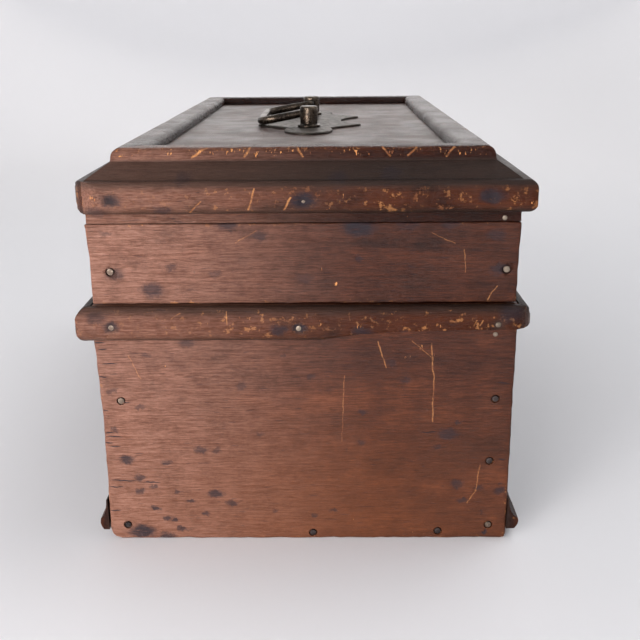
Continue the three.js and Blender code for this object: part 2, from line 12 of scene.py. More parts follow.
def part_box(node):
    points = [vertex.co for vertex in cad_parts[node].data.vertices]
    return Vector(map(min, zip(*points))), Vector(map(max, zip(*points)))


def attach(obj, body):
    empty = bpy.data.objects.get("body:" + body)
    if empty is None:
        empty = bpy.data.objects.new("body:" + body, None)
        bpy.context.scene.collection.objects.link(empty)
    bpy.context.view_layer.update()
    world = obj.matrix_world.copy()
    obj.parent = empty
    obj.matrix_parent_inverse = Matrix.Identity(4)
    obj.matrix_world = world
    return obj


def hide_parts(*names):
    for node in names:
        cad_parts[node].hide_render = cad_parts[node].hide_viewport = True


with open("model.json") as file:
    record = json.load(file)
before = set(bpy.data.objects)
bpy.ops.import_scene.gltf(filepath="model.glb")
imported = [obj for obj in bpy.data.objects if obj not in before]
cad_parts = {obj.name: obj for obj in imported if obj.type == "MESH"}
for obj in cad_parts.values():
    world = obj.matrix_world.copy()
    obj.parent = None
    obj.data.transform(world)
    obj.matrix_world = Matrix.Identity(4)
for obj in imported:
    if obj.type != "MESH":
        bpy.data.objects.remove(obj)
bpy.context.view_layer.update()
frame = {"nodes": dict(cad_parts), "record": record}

MM = 0.001
SHARP_ANGLE = math.radians(38)
JOINTS = {joint["name"]: joint for joint in frame["record"]["behaviour"]["joints"]}
BODY_OF = {
    node: body
    for body, nodes in frame["record"]["behaviour"]["bodies"].items()
    for node in nodes
}


# ---- small helpers


CORNERS = {}


def corners(node):
    """Lowest and highest corner of a CAD node, in millimetres."""
    if node not in CORNERS:
        CORNERS[node] = [tuple(c / MM for c in corner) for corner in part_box(node)]
    return CORNERS[node]


def middle(node):
    """The middle of a CAD node, in millimetres."""
    return [(a + b) / 2 for a, b in zip(*corners(node))]


def pivot(joint):
    """A joint's place, in millimetres."""
    return [c / MM for c in JOINTS[joint]["pos_m"]]


def srgb(*levels):
    """A colour given as it looks on a screen, from 0 to 255, as linear light."""
    shares = [level / 255 for level in levels]
    linear = [s / 12.92 if s <= 0.04045 else ((s + 0.055) / 1.055) ** 2.4 for s in shares]
    return (*linear, 1.0)


def wobble(x, y, z, size, seed=0.0):
    """Smooth noise from about -1 to 1, with features of about that size in millimetres."""
    return noise.noise(Vector((x / size + seed, y / size - seed, z / size + 3.7 * seed)))


def curve_points(start, *curves, steps=8):
    """A polyline through straight runs (one point) and quadratic curves (control point, end point)."""
    points = [start]
    for curve in curves:
        if len(curve) == 1:
            points.append(curve[0])
            continue
        (ax, ay), (bx, by), (cx, cy) = points[-1], *curve
        for step in range(1, steps + 1):
            t = step / steps
            u = 1 - t
            a, b, c = u * u, 2 * u * t, t * t
            points.append((a * ax + b * bx + c * cx, a * ay + b * by + c * cy))
    return points


def carve(obj, cutters):
    """Cuts closed shapes, each (points, faces) in millimetres, out of a piece."""
    for points, faces in cutters:
        mesh = bpy.data.meshes.new("cutter")
        mesh.from_pydata([[c * MM for c in p] for p in points], [], faces)
        tool = bpy.data.objects.new("cutter", mesh)
        bpy.context.collection.objects.link(tool)
        cut = obj.modifiers.new("cut", "BOOLEAN")
        cut.operation = "DIFFERENCE"
        cut.solver = "EXACT"
        cut.object = tool
        bpy.context.view_layer.update()
        graph = bpy.context.evaluated_depsgraph_get()
        obj.data = bpy.data.meshes.new_from_object(obj.evaluated_get(graph))
        obj.modifiers.clear()
        bpy.data.objects.remove(tool)


def piece(name, shape, body, material, slot, stands_for=(), layers=None, cutters=()):
    """A mesh made from points in millimetres, riding on a body and standing for CAD nodes."""
    points, faces = shape
    mesh = bpy.data.meshes.new(name)
    mesh.from_pydata([[c * MM for c in p] for p in points], [], faces)
    for layer, values in (layers or {}).items():
        attribute = mesh.attributes.new(layer, "FLOAT", "POINT")
        attribute.data.foreach_set("value", values)
    mesh.materials.append(material)
    obj = bpy.data.objects.new(name, mesh)
    bpy.context.collection.objects.link(obj)
    carve(obj, cutters)
    obj.data.shade_smooth()
    obj.data.set_sharp_from_angle(angle=SHARP_ANGLE)
    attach(obj, body)
    if stands_for:
        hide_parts(*stands_for)


def stand_in(node, shape, material, slot, layers=None, cutters=()):
    """A piece that stands for one CAD node and rides on its body."""
    piece(f"{node}_worn", shape, BODY_OF[node], material, slot, [node], layers, cutters)


# ---- shapes


def box_surface(lines):
    """The outside of a box whose faces are ruled at the given places along each axis."""
    index, points, faces = {}, [], []

    def corner(place):
        if place not in index:
            index[place] = len(points)
            points.append([lines[axis][place[axis]] for axis in range(3)])
        return index[place]

    for axis in range(3):
        b, c = (axis + 1) % 3, (axis + 2) % 3
        last = len(lines[axis]) - 1
        for end in (0, last):
            for u in range(len(lines[b]) - 1):
                for v in range(len(lines[c]) - 1):
                    quad = [(u, v), (u + 1, v), (u + 1, v + 1), (u, v + 1)]
                    if end == 0:
                        quad.reverse()
                    face = []
                    for pu, pv in quad:
                        place = [0, 0, 0]
                        place[axis], place[b], place[c] = end, pu, pv
                        face.append(corner(tuple(place)))
                    faces.append(face)
    return points, faces


def ruled(low, high, radius, step):
    """Places along a board's edge: close together in its rounded ends, then evenly spaced."""
    ends = [0, 0.42 * radius, 0.73 * radius, radius, radius + 1.2]
    ends = [e for e in ends if e < (high - low) * 0.45]
    first, last = low + ends[-1], high - ends[-1]
    count = max(1, round((last - first) / step))
    middle = [first + (last - first) * i / count for i in range(1, count)]
    return [low + e for e in ends] + middle + [high - e for e in reversed(ends)]


def rounded_block(low, high, radius, step, wear, seed):
    """A block with rounded, unevenly worn edges. Returns its shape and how worn each point is."""
    points, faces = box_surface([ruled(low[i], high[i], radius, step) for i in range(3)])
    worn = []
    for point in points:
        near = sorted(min(point[i] - low[i], high[i] - point[i]) for i in range(3))
        edge = math.exp(-near[1] / 1.4)
        inner = [min(max(point[i], low[i] + radius), high[i] - radius) for i in range(3)]
        out = Vector(point) - Vector(inner)
        depth = wear * edge * max(0.0, 0.35 + wobble(*point, 7, seed) + 0.6 * wobble(*point, 2.3, seed))
        point[:] = Vector(inner) + out.normalized() * (radius - depth)
        worn.append(edge)
    return (points, faces), worn


def ring_faces(rings, count, closed=False):
    """Faces between rings of count points each. closed joins the last ring to the first."""
    faces = []
    for ring in range(rings if closed else rings - 1):
        here, there = ring * count, (ring + 1) % rings * count
        for i in range(count):
            j = (i + 1) % count
            faces.append([here + i, here + j, there + j, there + i])
    return faces


def capped(rings, count):
    """Faces of a tube of rings with a flat cap on each end."""
    last = (rings - 1) * count
    caps = [list(reversed(range(count))), list(range(last, last + count))]
    return ring_faces(rings, count) + caps


def turned(profile, segments, axis_point, direction=(0, 0, 1)):
    """A closed round shape: a profile of (radius, height) from axis to axis, turned about a line."""
    turn = Vector((0, 0, 1)).rotation_difference(Vector(direction)).to_matrix()
    centre = Vector(axis_point)
    points = []
    for radius, height in profile[1:-1]:
        for i in range(segments):
            angle = 2 * math.pi * i / segments
            point = Vector((radius * math.cos(angle), radius * math.sin(angle), height))
            points.append(centre + turn @ point)
    rings = len(profile) - 2
    faces = ring_faces(rings, segments)
    for end, first in ((0, 0), (-1, (rings - 1) * segments)):
        tip = len(points)
        points.append(centre + turn @ Vector((0, 0, profile[end][1])))
        for i in range(segments):
            a, b = first + i, first + (i + 1) % segments
            faces.append([b, a, tip] if end == 0 else [a, b, tip])
    return points, faces


def swept(path, radii, sides):
    """A round bar along a path of Vectors, with a radius at each point and flat ends."""
    points = []
    last = len(path) - 1
    side = Vector((0, 0, 1))
    for i, centre in enumerate(path):
        ahead = (path[min(i + 1, last)] - path[max(i - 1, 0)]).normalized()
        side = (side - ahead * side.dot(ahead)).normalized()
        across = ahead.cross(side)
        for k in range(sides):
            angle = 2 * math.pi * k / sides
            points.append(centre + (across * math.cos(angle) + side * math.sin(angle)) * radii[i])
    return points, capped(len(path), sides)


def sheet_metal(outline, low, high, edge, lay):
    """A flat plate with eased top edges. lay turns an outline's point and a height into a place."""
    inset = []
    for i, (x, y) in enumerate(outline):
        (ax, ay), (bx, by) = outline[i - 1], outline[(i + 1) % len(outline)]
        length = math.hypot(bx - ax, by - ay) or 1
        inset.append((x - (by - ay) / length * edge, y + (bx - ax) / length * edge))
    points = []
    for ring, height in ((outline, low), (outline, high - edge), (inset, high)):
        points += [lay(x, y, height) for x, y in ring]
    return points, capped(3, len(outline))


def together(*shapes):
    """Several closed shapes as one."""
    points, faces = [], []
    for more_points, more_faces in shapes:
        start = len(points)
        points += list(more_points)
        faces += [[start + i for i in face] for face in more_faces]
    return points, faces


def plain_block(low, high):
    return box_surface([[low[i], high[i]] for i in range(3)])


def drill(place, direction, radius, depth):
    """A cutter for a round hole that goes in against a direction."""
    above = 2
    profile = [(0, -depth), (radius, -depth), (radius, above), (0, above)]
    return turned(profile, 20, place, direction)


# ---- material graphs


class Graph:
    """Builds a material's nodes. Values and sockets go in, and an output socket comes back."""

    def __init__(self, name):
        self.material = bpy.data.materials.new(name)
        self.material.use_nodes = True
        self.tree = self.material.node_tree
        self.shader = self.tree.nodes["Principled BSDF"]

    def node(self, kind, inputs, output=0, **settings):
        node = self.tree.nodes.new(kind)
        for key, value in settings.items():
            setattr(node, key, value)
        for key, value in inputs.items():
            self.feed(node.inputs[key], value)
        return node.outputs[output]

    def feed(self, socket, value):
        if isinstance(value, bpy.types.NodeSocket):
            self.tree.links.new(value, socket)
        else:
            socket.default_value = value

    def place(self):
        return self.node("ShaderNodeTexCoord", {}, output="Object")

    def layer(self, name):
        return self.node("ShaderNodeAttribute", {}, output="Fac", attribute_name=name)

    def fold(self, operation, first, *others):
        for other in others:
            first = self.node("ShaderNodeMath", {0: first, 1: other}, operation=operation)
        return first

    def plus(self, *values):
        return self.fold("ADD", *values)

    def minus(self, *values):
        return self.fold("SUBTRACT", *values)

    def times(self, *values):
        return self.fold("MULTIPLY", *values)

    def most(self, *values):
        return self.fold("MAXIMUM", *values)

    def vector(self, operation, a, b=(0, 0, 0), output=0):
        return self.node("ShaderNodeVectorMath", {0: a, 1: b}, output=output, operation=operation)

    def noise(self, place, scale, detail=2.0, roughness=0.5, distortion=0.0, output=0):
        inputs = {"Vector": place, "Scale": scale, "Detail": detail, "Roughness": roughness}
        return self.node("ShaderNodeTexNoise", {**inputs, "Distortion": distortion}, output=output)

    def step(self, value, low, high, out_low=0.0, out_high=1.0):
        inputs = {0: value, 1: low, 2: high, 3: out_low, 4: out_high}
        return self.node("ShaderNodeMapRange", inputs, interpolation_type="SMOOTHSTEP")

    def mix(self, share, a, b, blend="MIX"):
        node = self.tree.nodes.new("ShaderNodeMix")
        node.data_type = "RGBA"
        node.blend_type = blend
        self.feed(node.inputs["Factor"], share)
        self.feed(node.inputs[6], a)
        self.feed(node.inputs[7], b)
        return node.outputs[2]

    def apart(self, a, b):
        return self.vector("DISTANCE", a, b, output="Value")

    def split(self, vector, axis):
        return self.node("ShaderNodeSeparateXYZ", {0: vector}, output=axis)

    def warp(self, place, scale, amount):
        """The place moved about by noise, so that what is drawn round it gets ragged."""
        drift = self.vector("SUBTRACT", self.noise(place, scale, detail=3, output=1), (0.5, 0.5, 0.5))
        return self.vector("ADD", place, self.vector("MULTIPLY", drift, (amount * 2,) * 3))

    def flat(self, place, across=1):
        """The place brought onto the XZ plane, and drawn together across."""
        return self.vector("MULTIPLY", place, (across, 0, 1))

    def bump(self, height, distance, strength=1.0):
        return self.node("ShaderNodeBump", {"Height": height, "Distance": distance, "Strength": strength})

    def finish(self, colour, roughness, normal=None, **others):
        self.feed(self.shader.inputs["Base Color"], colour)
        self.feed(self.shader.inputs["Roughness"], roughness)
        if normal is not None:
            self.feed(self.shader.inputs["Normal"], normal)
        for key, value in others.items():
            self.feed(self.shader.inputs[key.replace("_", " ")], value)
        return self.material


# ---- marks on the left end

# Marks on the end that faces -Y, as places across (x) and up (z) in millimetres. A stain is
# (x, z, radius, darkness), a scratch is a line of points with a half-width, a worn patch is (x, z, radius).

BASE_MARKS = {
    "stains": [
        (-42, 79, 2.2, 0.7), (-57, 74, 1.2, 0.5), (-60, 54, 1.3, 0.6), (-23, 62, 1.6, 0.5),
        (2, 66, 1.3, 0.6), (-66, 33, 2.2, 0.9), (-52, 32, 1.3, 0.8), (-39, 37, 1.8, 0.7),
        (-33, 37, 1.4, 0.6), (-17, 43, 1.2, 0.5), (-62, 26, 1.8, 0.8), (-57, 22, 1.2, 0.7),
        (-62, 20, 1.6, 0.8), (-34, 19, 2.2, 0.9), (-28, 15, 1.8, 0.8), (-57, 13, 1.3, 0.9),
        (-44, 16, 1.2, 0.8), (-38, 11, 1.1, 0.8), (-53, 9, 1.4, 0.9), (-50, 8, 1.2, 0.9),
        (-47, 4, 1.5, 0.9), (-63, 3, 3.8, 1.0), (-53, 1, 2.6, 0.9), (31, 71, 1.3, 0.5), (36, 64, 1.7, 0.6),
        (21, 52, 1.4, 0.7), (20, 40, 1.2, 0.6), (55, 48, 1.1, 0.8), (52, 43, 2.6, 0.7), (48, 38, 1.2, 0.7),
        (56, 23, 2.0, 0.8), (58, 16, 1.4, 0.8), (64, 21, 1.3, 0.8), (72, 20, 1.8, 0.8), (10, 12, 1.0, 0.8),
        (3, 10, 0.9, 0.7), (-12, 12, 0.8, 0.6), (-70, 60, 1.4, 0.6), (-70, 45, 1.2, 0.6), (-48, 20, 1.0, 0.7),
        (66.8, 2.6, 0.8, 1.0),
    ],
    "scratches": [
        (0.2, [(26, 79), (29, 69)]), (0.2, [(45, 78), (46, 66), (46, 48)]), (0.15, [(14, 66), (13, 40)]),
        (0.2, [(64, 31), (63, 20), (60, 15)]), (0.15, [(38, 79), (45, 73)]), (0.15, [(-63, 74), (-59, 65)]),
    ],
    "patches": [(40, 76, 4.0), (45, 74, 3.0), (36, 73, 2.5), (60, 12, 1.5), (18, 8, 1.2), (-50, 70, 1.0)],
    "cracks": [
        (-73, 79, 2), (-72, 76.5, 1.5), (-70, 71, 3), (-73, 66, 1.5), (-66, 56, 2.5), (-73, 53, 1.2),
        (-72, 44, 1.5), (-70, 42.5, 3), (-72.5, 40, 1.5), (-70, 38.5, 2), (-67, 34, 2.5), (-68, 24.5, 5),
        (-71, 22, 3), (-58, 24, 3), (-72, 12, 2), (71, 63, 2), (72, 33, 1.5), (45, 44, 3),
    ],
}
LID_MARKS = {
    "stains": [
        (-53, 98, 3.2, 0.8), (-26, 121, 2.8, 0.8), (-15, 117, 2.2, 0.7), (3, 124, 2.0, 0.6),
        (19, 120, 4.2, 1.0), (19, 109, 1.4, 0.7), (-46, 106, 1.6, 0.6), (-31, 104, 1.8, 0.5),
        (36, 121, 3.0, 0.6), (50, 121, 2.5, 0.6), (-66, 104, 2.6, 0.7), (68, 105, 2.6, 0.8),
        (0, 102, 2.4, 0.4), (-68, 118, 1.4, 0.5), (66, 117, 2.6, 0.6),
    ],
    "scratches": [
        (0.16, [(-23, 115), (-16, 119)]), (0.2, [(67, 99), (64, 94)]), (0.14, [(44, 118), (52, 114)]),
        (0.16, [(55, 112), (56, 104)]),
    ],
    "patches": [(38, 115, 1.2), (54, 115, 1.4), (11, 100, 2.0), (15, 94, 1.2), (-8, 108, 2.0)],
}
LID_BEAD_MARKS = {
    "stains": [
        (-64, 130, 2.6, 0.8), (0, 130, 3.4, 1.0), (63, 131, 3.2, 1.0), (-47, 127, 2.2, 0.6),
        (-70, 126, 2.6, 0.5), (-40, 137, 2.2, 0.5), (30, 138, 2.6, 0.5), (12, 137, 2.2, 0.5),
    ],
    "scratches": [
        (0.25, [(-38, 126), (-34, 130)]), (0.25, [(-18, 127), (-16, 134)]), (0.28, [(-6, 127), (-4, 131)]),
        (0.34, [(-38, 143), (-33, 146)]), (0.34, [(-20, 143), (-18, 146)]), (0.34, [(0, 143), (-2, 146)]),
        (0.32, [(30, 143), (27, 146)]), (0.3, [(36, 143), (39, 146)]), (0.3, [(49, 143), (52, 146)]),
    ],
    "patches": [
        (-71, 131, 2.4), (-55, 132, 2.0), (9, 127, 2.2), (15, 132, 2.4), (21, 127, 2.2), (40, 129, 2.4),
        (76, 129, 2.2), (-16, 144, 3.2), (-1, 144, 2.6), (13, 144, 2.6), (49, 144, 3.4),
    ],
    "chipped": [(142.6, 147.0, 0.15), (126.0, 134.5, 0.02)],
}
BASE_BEAD_MARKS = {
    "stains": [
        (-67, 86, 2.4, 0.8), (-2, 85.5, 2.0, 1.0), (-9, 85, 2.4, 0.8), (20, 84, 3.0, 0.8), (66, 82, 2.4, 0.8),
        (-72, 89, 2.6, 0.6), (34, 83, 2.0, 0.6), (72, 90, 3.4, 0.7),
    ],
    "scratches": [
        (0.18, [(-27, 87), (-27, 91)]), (0.22, [(59, 86), (60, 88)]), (0.2, [(61, 86), (62, 88)]),
        (0.16, [(-46, 89), (-43, 91)]),
    ],
    "patches": [(5, 87.5, 2.2), (19, 86, 2.6), (38, 86, 2.6), (47, 86, 2.0), (58, 86, 2.0), (-62, 90, 1.2)],
    "chipped": [(84.6, 90, 0.02)],
}


def stain_mask(g, place, stains):
    """Ragged spots, a little drawn out along the grain."""
    squeeze = 0.6
    flat = g.flat(g.warp(g.warp(place, 260, 0.0016), 900, 0.0012), squeeze)
    mask = 0.0
    for x, z, radius, darkness in stains:
        reach = radius * MM
        distance = g.apart(flat, (squeeze * x * MM, 0, z * MM))
        mask = g.most(mask, g.step(distance, reach * 1.1, reach * 0.4, 0.0, darkness))
    streaks = g.noise(g.vector("MULTIPLY", place, (1, 1, 7)), 260, detail=4, roughness=0.7)
    return g.times(mask, g.step(streaks, 0.3, 0.54, 0.55, 1.0))


def patch_mask(g, place, patches, chipped=()):
    """Clusters of small slanting chips where the finish has gone, thinning out with distance.

    chipped are bands of height with chips all along them, as (low, high, how many).
    """
    squeeze, band_edge = 0.75, 0.8
    chips = 0.0
    for lean in (0.65, -0.5):
        lie = {0: place, "Rotation": (0, lean, 0), "Scale": (1, 1, 0.26)}
        chips = g.most(chips, g.noise(g.node("ShaderNodeMapping", lie), 950, detail=4, roughness=0.62))
    flat = g.flat(place, squeeze)
    mask = 0.0
    for x, z, radius in patches:
        distance = g.apart(flat, (squeeze * x * MM, 0, z * MM))
        mask = g.most(mask, g.step(distance, radius * MM, 0.0))
    height = g.split(place, 2)
    for low, high, share in chipped:
        above = g.step(height, low * MM, (low + band_edge) * MM, 0.0, share * 5)
        mask = g.most(mask, g.times(above, g.step(height, high * MM, (high - band_edge) * MM)))
    return g.step(g.plus(chips, g.times(mask, 0.15)), 0.75, 0.79)


def crack_mask(g, place, cracks):
    """Short dark cracks along the grain, as (x, z, half length)."""
    shaken = g.flat(g.warp(place, 180, 0.0009))
    mask = 0.0
    for x, z, half in cracks:
        off = g.vector("SUBTRACT", shaken, (x * MM, 0, z * MM))
        far = g.vector("LENGTH", g.flat(off, 0.22 / half), output="Value")
        mask = g.most(mask, g.step(far, 0.3 * MM, 0.12 * MM))
    return mask


def line_distance(g, place, start, end):
    """How far the place is from a line between two points of the XZ plane."""
    first = Vector((start[0] * MM, 0, start[1] * MM))
    run = Vector((end[0] * MM, 0, end[1] * MM)) - first
    off = g.vector("SUBTRACT", place, tuple(first))
    share = g.vector("DOT_PRODUCT", off, tuple(run / run.length_squared), output="Value")
    share = g.node("ShaderNodeMath", {0: share, 1: 0.0}, operation="ADD", use_clamp=True)
    foot = g.node("ShaderNodeVectorMath", {0: tuple(run), "Scale": share}, operation="SCALE")
    return g.apart(off, foot)


def scratch_mask(g, place, scratches):
    """Thin, broken lines from point to point. A finer scratch is a fainter one."""
    shaken = g.flat(g.warp(place, 260, 0.0007))
    mask = 0.0
    for half_width, line in scratches:
        width, strength = half_width * MM, min(1.0, half_width * 2.1)
        for start, end in zip(line, line[1:]):
            away = line_distance(g, shaken, start, end)
            mask = g.most(mask, g.step(away, width * 1.7, width * 0.3, 0.0, strength))
    broken = g.step(g.noise(place, 700, detail=3, roughness=0.7), 0.4, 0.52, 0.35, 1.0)
    return g.times(mask, broken)


# ---- woods

# The last value of each look makes the mouldings' crests lighter: rubbed wear, and also a painted highlight.
STAINED = {
    "dark": srgb(42, 19, 11), "mid": srgb(68, 34, 20), "light": srgb(94, 51, 30),
    "gloss": 0.43, "wear": 0.3, "spots": 0.5, "shine": 0.19, "crest_and_highlight": 0.0,
}
MOULDING = {
    "dark": srgb(26, 11, 7), "mid": srgb(44, 19, 10), "light": srgb(66, 31, 16),
    "gloss": 0.24, "wear": 0.2, "spots": 0.5, "shine": 0.16, "crest_and_highlight": 0.45,
}
PLAIN = {
    "dark": srgb(96, 66, 44), "mid": srgb(137, 98, 66), "light": srgb(165, 124, 87),
    "gloss": 0.62, "wear": 0.25, "spots": 0.35, "shine": 0.3, "crest_and_highlight": 0.0,
}
BARE_WOOD = srgb(214, 150, 92)
WORN_WOOD = srgb(146, 88, 54)
STAIN_BLACK = srgb(32, 28, 34)
# a dusty colour, used for painted shade on the mouldings
DUST_AND_SHADE = srgb(56, 46, 41)


def wood_noises(g, place, axis):
    """The noises that a wood's pattern is made of. Each board's own seed moves them."""
    seed = g.layer("seed")
    shift = g.node("ShaderNodeCombineXYZ", {0: seed, 1: seed, 2: seed})
    moved = g.vector("ADD", place, g.vector("MULTIPLY", shift, (0.37, 0.53, 0.29)))

    def drawn_out(ratio, *settings):
        stretch = [ratio] * 3
        stretch[axis] = 1
        return g.noise(g.vector("MULTIPLY", moved, tuple(stretch)), *settings)

    return {
        "fibres": drawn_out(14, 290, 4, 0.7),
        "lines": drawn_out(26, 80, 4, 0.65),
        "bands": drawn_out(5, 22, 4, 0.55, 0.5),
        "pores": drawn_out(9, 170, 3),
        "clouds": g.noise(moved, 17, 4, 0.6),
        "mottle": g.noise(moved, 130, 4, 0.75),
        "spots": g.noise(moved, 240, 3, 0.5),
        "rub": g.noise(moved, 330, 4, 0.7),
        "sheen": g.noise(moved, 60, 3),
    }


def wood_stain(g, look, place, noises, fine, glow, painted_sheen):
    """The stain's colour: its tone and grain, lighter crests (rubbed wear and a painted highlight), and how
    it changes across the left end: more orange towards the table, and a painted sheen towards the back.
    """
    clouds, mottle = noises["clouds"], noises["mottle"]
    tone = g.plus(g.times(noises["bands"], 0.4), g.times(clouds, 0.35), g.times(mottle, 0.25))
    colour = g.mix(g.step(tone, 0.36, 0.52), look["dark"], look["mid"])
    colour = g.mix(g.step(tone, 0.5, 0.66), colour, look["light"])
    grain = g.step(fine, 0.38, 0.62)
    colour = g.mix(0.9, colour, g.mix(grain, srgb(158, 149, 144), srgb(255, 252, 250)), blend="MULTIPLY")
    # lighter crests on the mouldings: rubbed wear, and also a painted highlight along the middle of the beads
    if look["crest_and_highlight"]:
        crest_and_highlight = g.step(g.layer("wear"), 0.3, 1.0, 0.0, look["crest_and_highlight"])
        crest_and_highlight = g.times(crest_and_highlight, g.step(tone, 0.38, 0.55))
        colour = g.mix(crest_and_highlight, colour, g.mix(fine, srgb(60, 28, 14), srgb(98, 50, 25)))
    if glow:
        low = g.step(g.split(place, 2), 0.085, 0.0, 0.0, glow)
        low = g.times(low, g.step(g.split(place, 0), 0.08, -0.02, 0.35, 1.0))
        colour = g.mix(low, colour, g.mix(mottle, srgb(92, 48, 22), srgb(136, 76, 36)))
    # painted sheen: the stain turns lighter and greyer towards the back, standing in for light reflected off
    # the varnish
    if painted_sheen:
        back = g.step(g.split(place, 0), 0.03, -0.078, 0.0, painted_sheen)
        back = g.times(back, g.step(mottle, 0.25, 0.6, 0.6, 1.0))
        colour = g.mix(back, colour, g.mix(grain, srgb(104, 66, 50), srgb(150, 110, 94)))
    return colour


def wood(name, look, axis, marks=None, glow=0.0, painted_sheen=0.0):
    """Stained wood under old varnish, with its grain along one axis (0 is X, 1 is Y).

    glow is how much more orange the stain gets towards the table; the last argument is how much a painted
    sheen lightens and greys it towards the back.
    """
    g = Graph(name)
    place = g.place()
    noises = wood_noises(g, place, axis)
    clouds, mottle = noises["clouds"], noises["mottle"]
    fine = g.plus(g.times(noises["fibres"], 0.55), g.times(noises["lines"], 0.45))
    colour = wood_stain(g, look, place, noises, fine, glow, painted_sheen)

    # dark pores and old ink-like spots
    pores = g.step(noises["pores"], 0.64, 0.72)
    spots = g.times(g.step(noises["spots"], 0.7, 0.77), g.step(clouds, 0.42, 0.6))
    dark = g.most(g.times(pores, 0.45), g.times(spots, look["spots"]))

    # wear along the edges and crests
    wear = g.layer("wear")
    rub = g.plus(noises["rub"], g.times(wear, 0.1))
    worn = g.times(
        g.step(rub, 0.66, 0.74), g.step(wear, 0.2, 0.7), g.step(clouds, 0.4, 0.62, 0.1, look["wear"] * 2)
    )
    nicks = bare = 0.0
    if marks:
        dark = g.most(dark, stain_mask(g, place, marks["stains"]))
        dark = g.most(dark, crack_mask(g, place, marks.get("cracks", ())))
        on_end = g.step(g.split(place, 1), -0.1285, -0.1305)
        bare = g.times(patch_mask(g, place, marks["patches"], marks.get("chipped", ())), on_end)
        nicks = g.times(scratch_mask(g, place, marks["scratches"]), on_end)

    # a dusty colour laid on the mouldings as painted shade: in their creases, on the beads' tops and lower
    # sides, and round nails
    grime_and_shade = g.times(g.layer("grime_and_shade"), g.step(mottle, 0.2, 0.6, 0.75, 1.0))
    light_wood = g.mix(g.step(mottle, 0.3, 0.6), WORN_WOOD, BARE_WOOD)
    for mask, share, over in (
        (grime_and_shade, 0.8, g.mix(fine, srgb(32, 24, 20), DUST_AND_SHADE)),
        (worn, 0.8, light_wood),
        (dark, 0.93, STAIN_BLACK),
        (nicks, 0.8, light_wood),
        (bare, 0.9, light_wood),
    ):
        colour = g.mix(g.times(mask, share), colour, over)

    dull = g.most(worn, bare, g.times(dark, 0.5))
    dull = g.most(dull, g.times(grime_and_shade, 0.7))
    roughness = g.plus(look["gloss"], g.times(dull, 0.25), g.step(noises["sheen"], 0.3, 0.7, -0.05, 0.08))
    height = g.plus(g.times(noises["fibres"], 0.7), g.times(noises["lines"], 0.6), g.times(mottle, 0.5))
    height = g.minus(height, g.times(g.most(nicks, bare), 0.4), g.times(dark, 0.35))
    return g.finish(colour, roughness, g.bump(height, 0.00035), Specular_IOR_Level=look["shine"])


# ---- metals


def metal(name, dark, light, tarnish, rough, rubbed_share=0.62, film_share=0.5):
    """Old metal: two tones in clouds, a matt tarnish, and brighter rubbed edges."""
    g = Graph(name)
    place = g.place()
    clouds = g.noise(place, 160, detail=4, roughness=0.6)
    specks = g.noise(place, 900, detail=3, roughness=0.7)
    film = g.step(g.noise(place, 420, detail=4, roughness=0.7), 0.48, 0.66)
    rubbed = g.times(g.layer("wear"), g.step(specks, 0.4, 0.6))
    colour = g.mix(g.step(clouds, 0.35, 0.65), dark, light)
    colour = g.mix(g.times(film, 0.7), colour, tarnish)
    colour = g.mix(g.times(rubbed, rubbed_share), colour, light)
    roughness = g.plus(rough, g.times(film, 0.25), g.step(specks, 0.3, 0.7, -0.05, 0.08))
    height = g.plus(g.times(clouds, 0.5), g.times(specks, 0.4))
    metallic = g.minus(0.95, g.times(film, film_share))
    return g.finish(colour, roughness, g.bump(height, 0.00012, 0.7), Metallic=metallic)


# ---- pieces: boards


def board(node, material, slot, seed, radius, wear, step, cutters=(), reshape=None):
    low, high = corners(node)
    shape, worn = rounded_block(low, high, radius, step, wear, seed)
    if reshape:
        for point in shape[0]:
            reshape(point, low, high)
    layers = {"wear": worn, "seed": [seed] * len(worn), "grime_and_shade": [0.0] * len(worn)}
    stand_in(node, shape, material, slot, layers, cutters)


def round_corner(point, corner, signs, radius, axes):
    """Brings a point outside a rounded corner in onto its arc. signs say which way the corner points."""
    centre = [c - sign * radius for c, sign in zip(corner, signs)]
    off = [point[axis] - c for axis, c in zip(axes, centre)]
    length = math.hypot(*off)
    if length > radius and all(o * sign > 0 for o, sign in zip(off, signs)):
        for axis, c, o in zip(axes, centre, off):
            point[axis] = c + o * radius / length


def worn_base_end(point, low, high):
    """The left end board: lower corners worn round, and the back edge hollowed at mid height."""
    round_corner(point, (low[0], low[2]), (-1, -1), 6.0, (0, 2))
    round_corner(point, (high[0], low[2]), (1, -1), 2.6, (0, 2))
    share = (point[2] - low[2]) / (high[2] - low[2])
    hollow = 0.9 * math.sin(math.pi * min(1.0, share * 1.15)) + 0.25 * wobble(0, 0, point[2], 6)
    if point[0] < 0:
        inner = 40
        point[0] += max(0.0, hollow) * max(0.0, (-point[0] - inner) / (-low[0] - inner))


def flared_lid_end(point, low, high):
    """The lid's left end board is a little wider at its top edge, more so at the back."""
    start = low[2] + 12
    rise = max(0.0, (point[2] - start) / (high[2] - start))
    point[0] += (-0.9 if point[0] < 0 else 0.4) * rise * rise * min(1.0, abs(point[0]) / 60) ** 4


def nail_cutters(nodes):
    """A shallow hole round each nail."""
    radius, depth = 1.65, 0.9
    places = [(middle(node)[0], corners(node)[0][1], middle(node)[2]) for node in nodes]
    return [drill(place, (0, -1, 0), radius, depth) for place in places]


# ---- pieces: mouldings

SEAM = 0.1
TURNS = {"front": 0, "right": 90, "back": 180, "left": -90}
BASE_TOP = corners("base_left_end")[1][2]
BEAD_BOTTOM = corners("base_bead_left")[0][2]
# half of the base's and the lid's size, along X and along Y
BASE_HALF = (corners("base_left_end")[1][0], -corners("base_left_end")[0][1])
LID_HALF = (corners("lid_left_end")[1][0], -corners("lid_left_end")[0][1])


def spans(halves, side):
    """How far a side's face is from the middle, and half of its length."""
    return halves if side in ("front", "back") else halves[::-1]


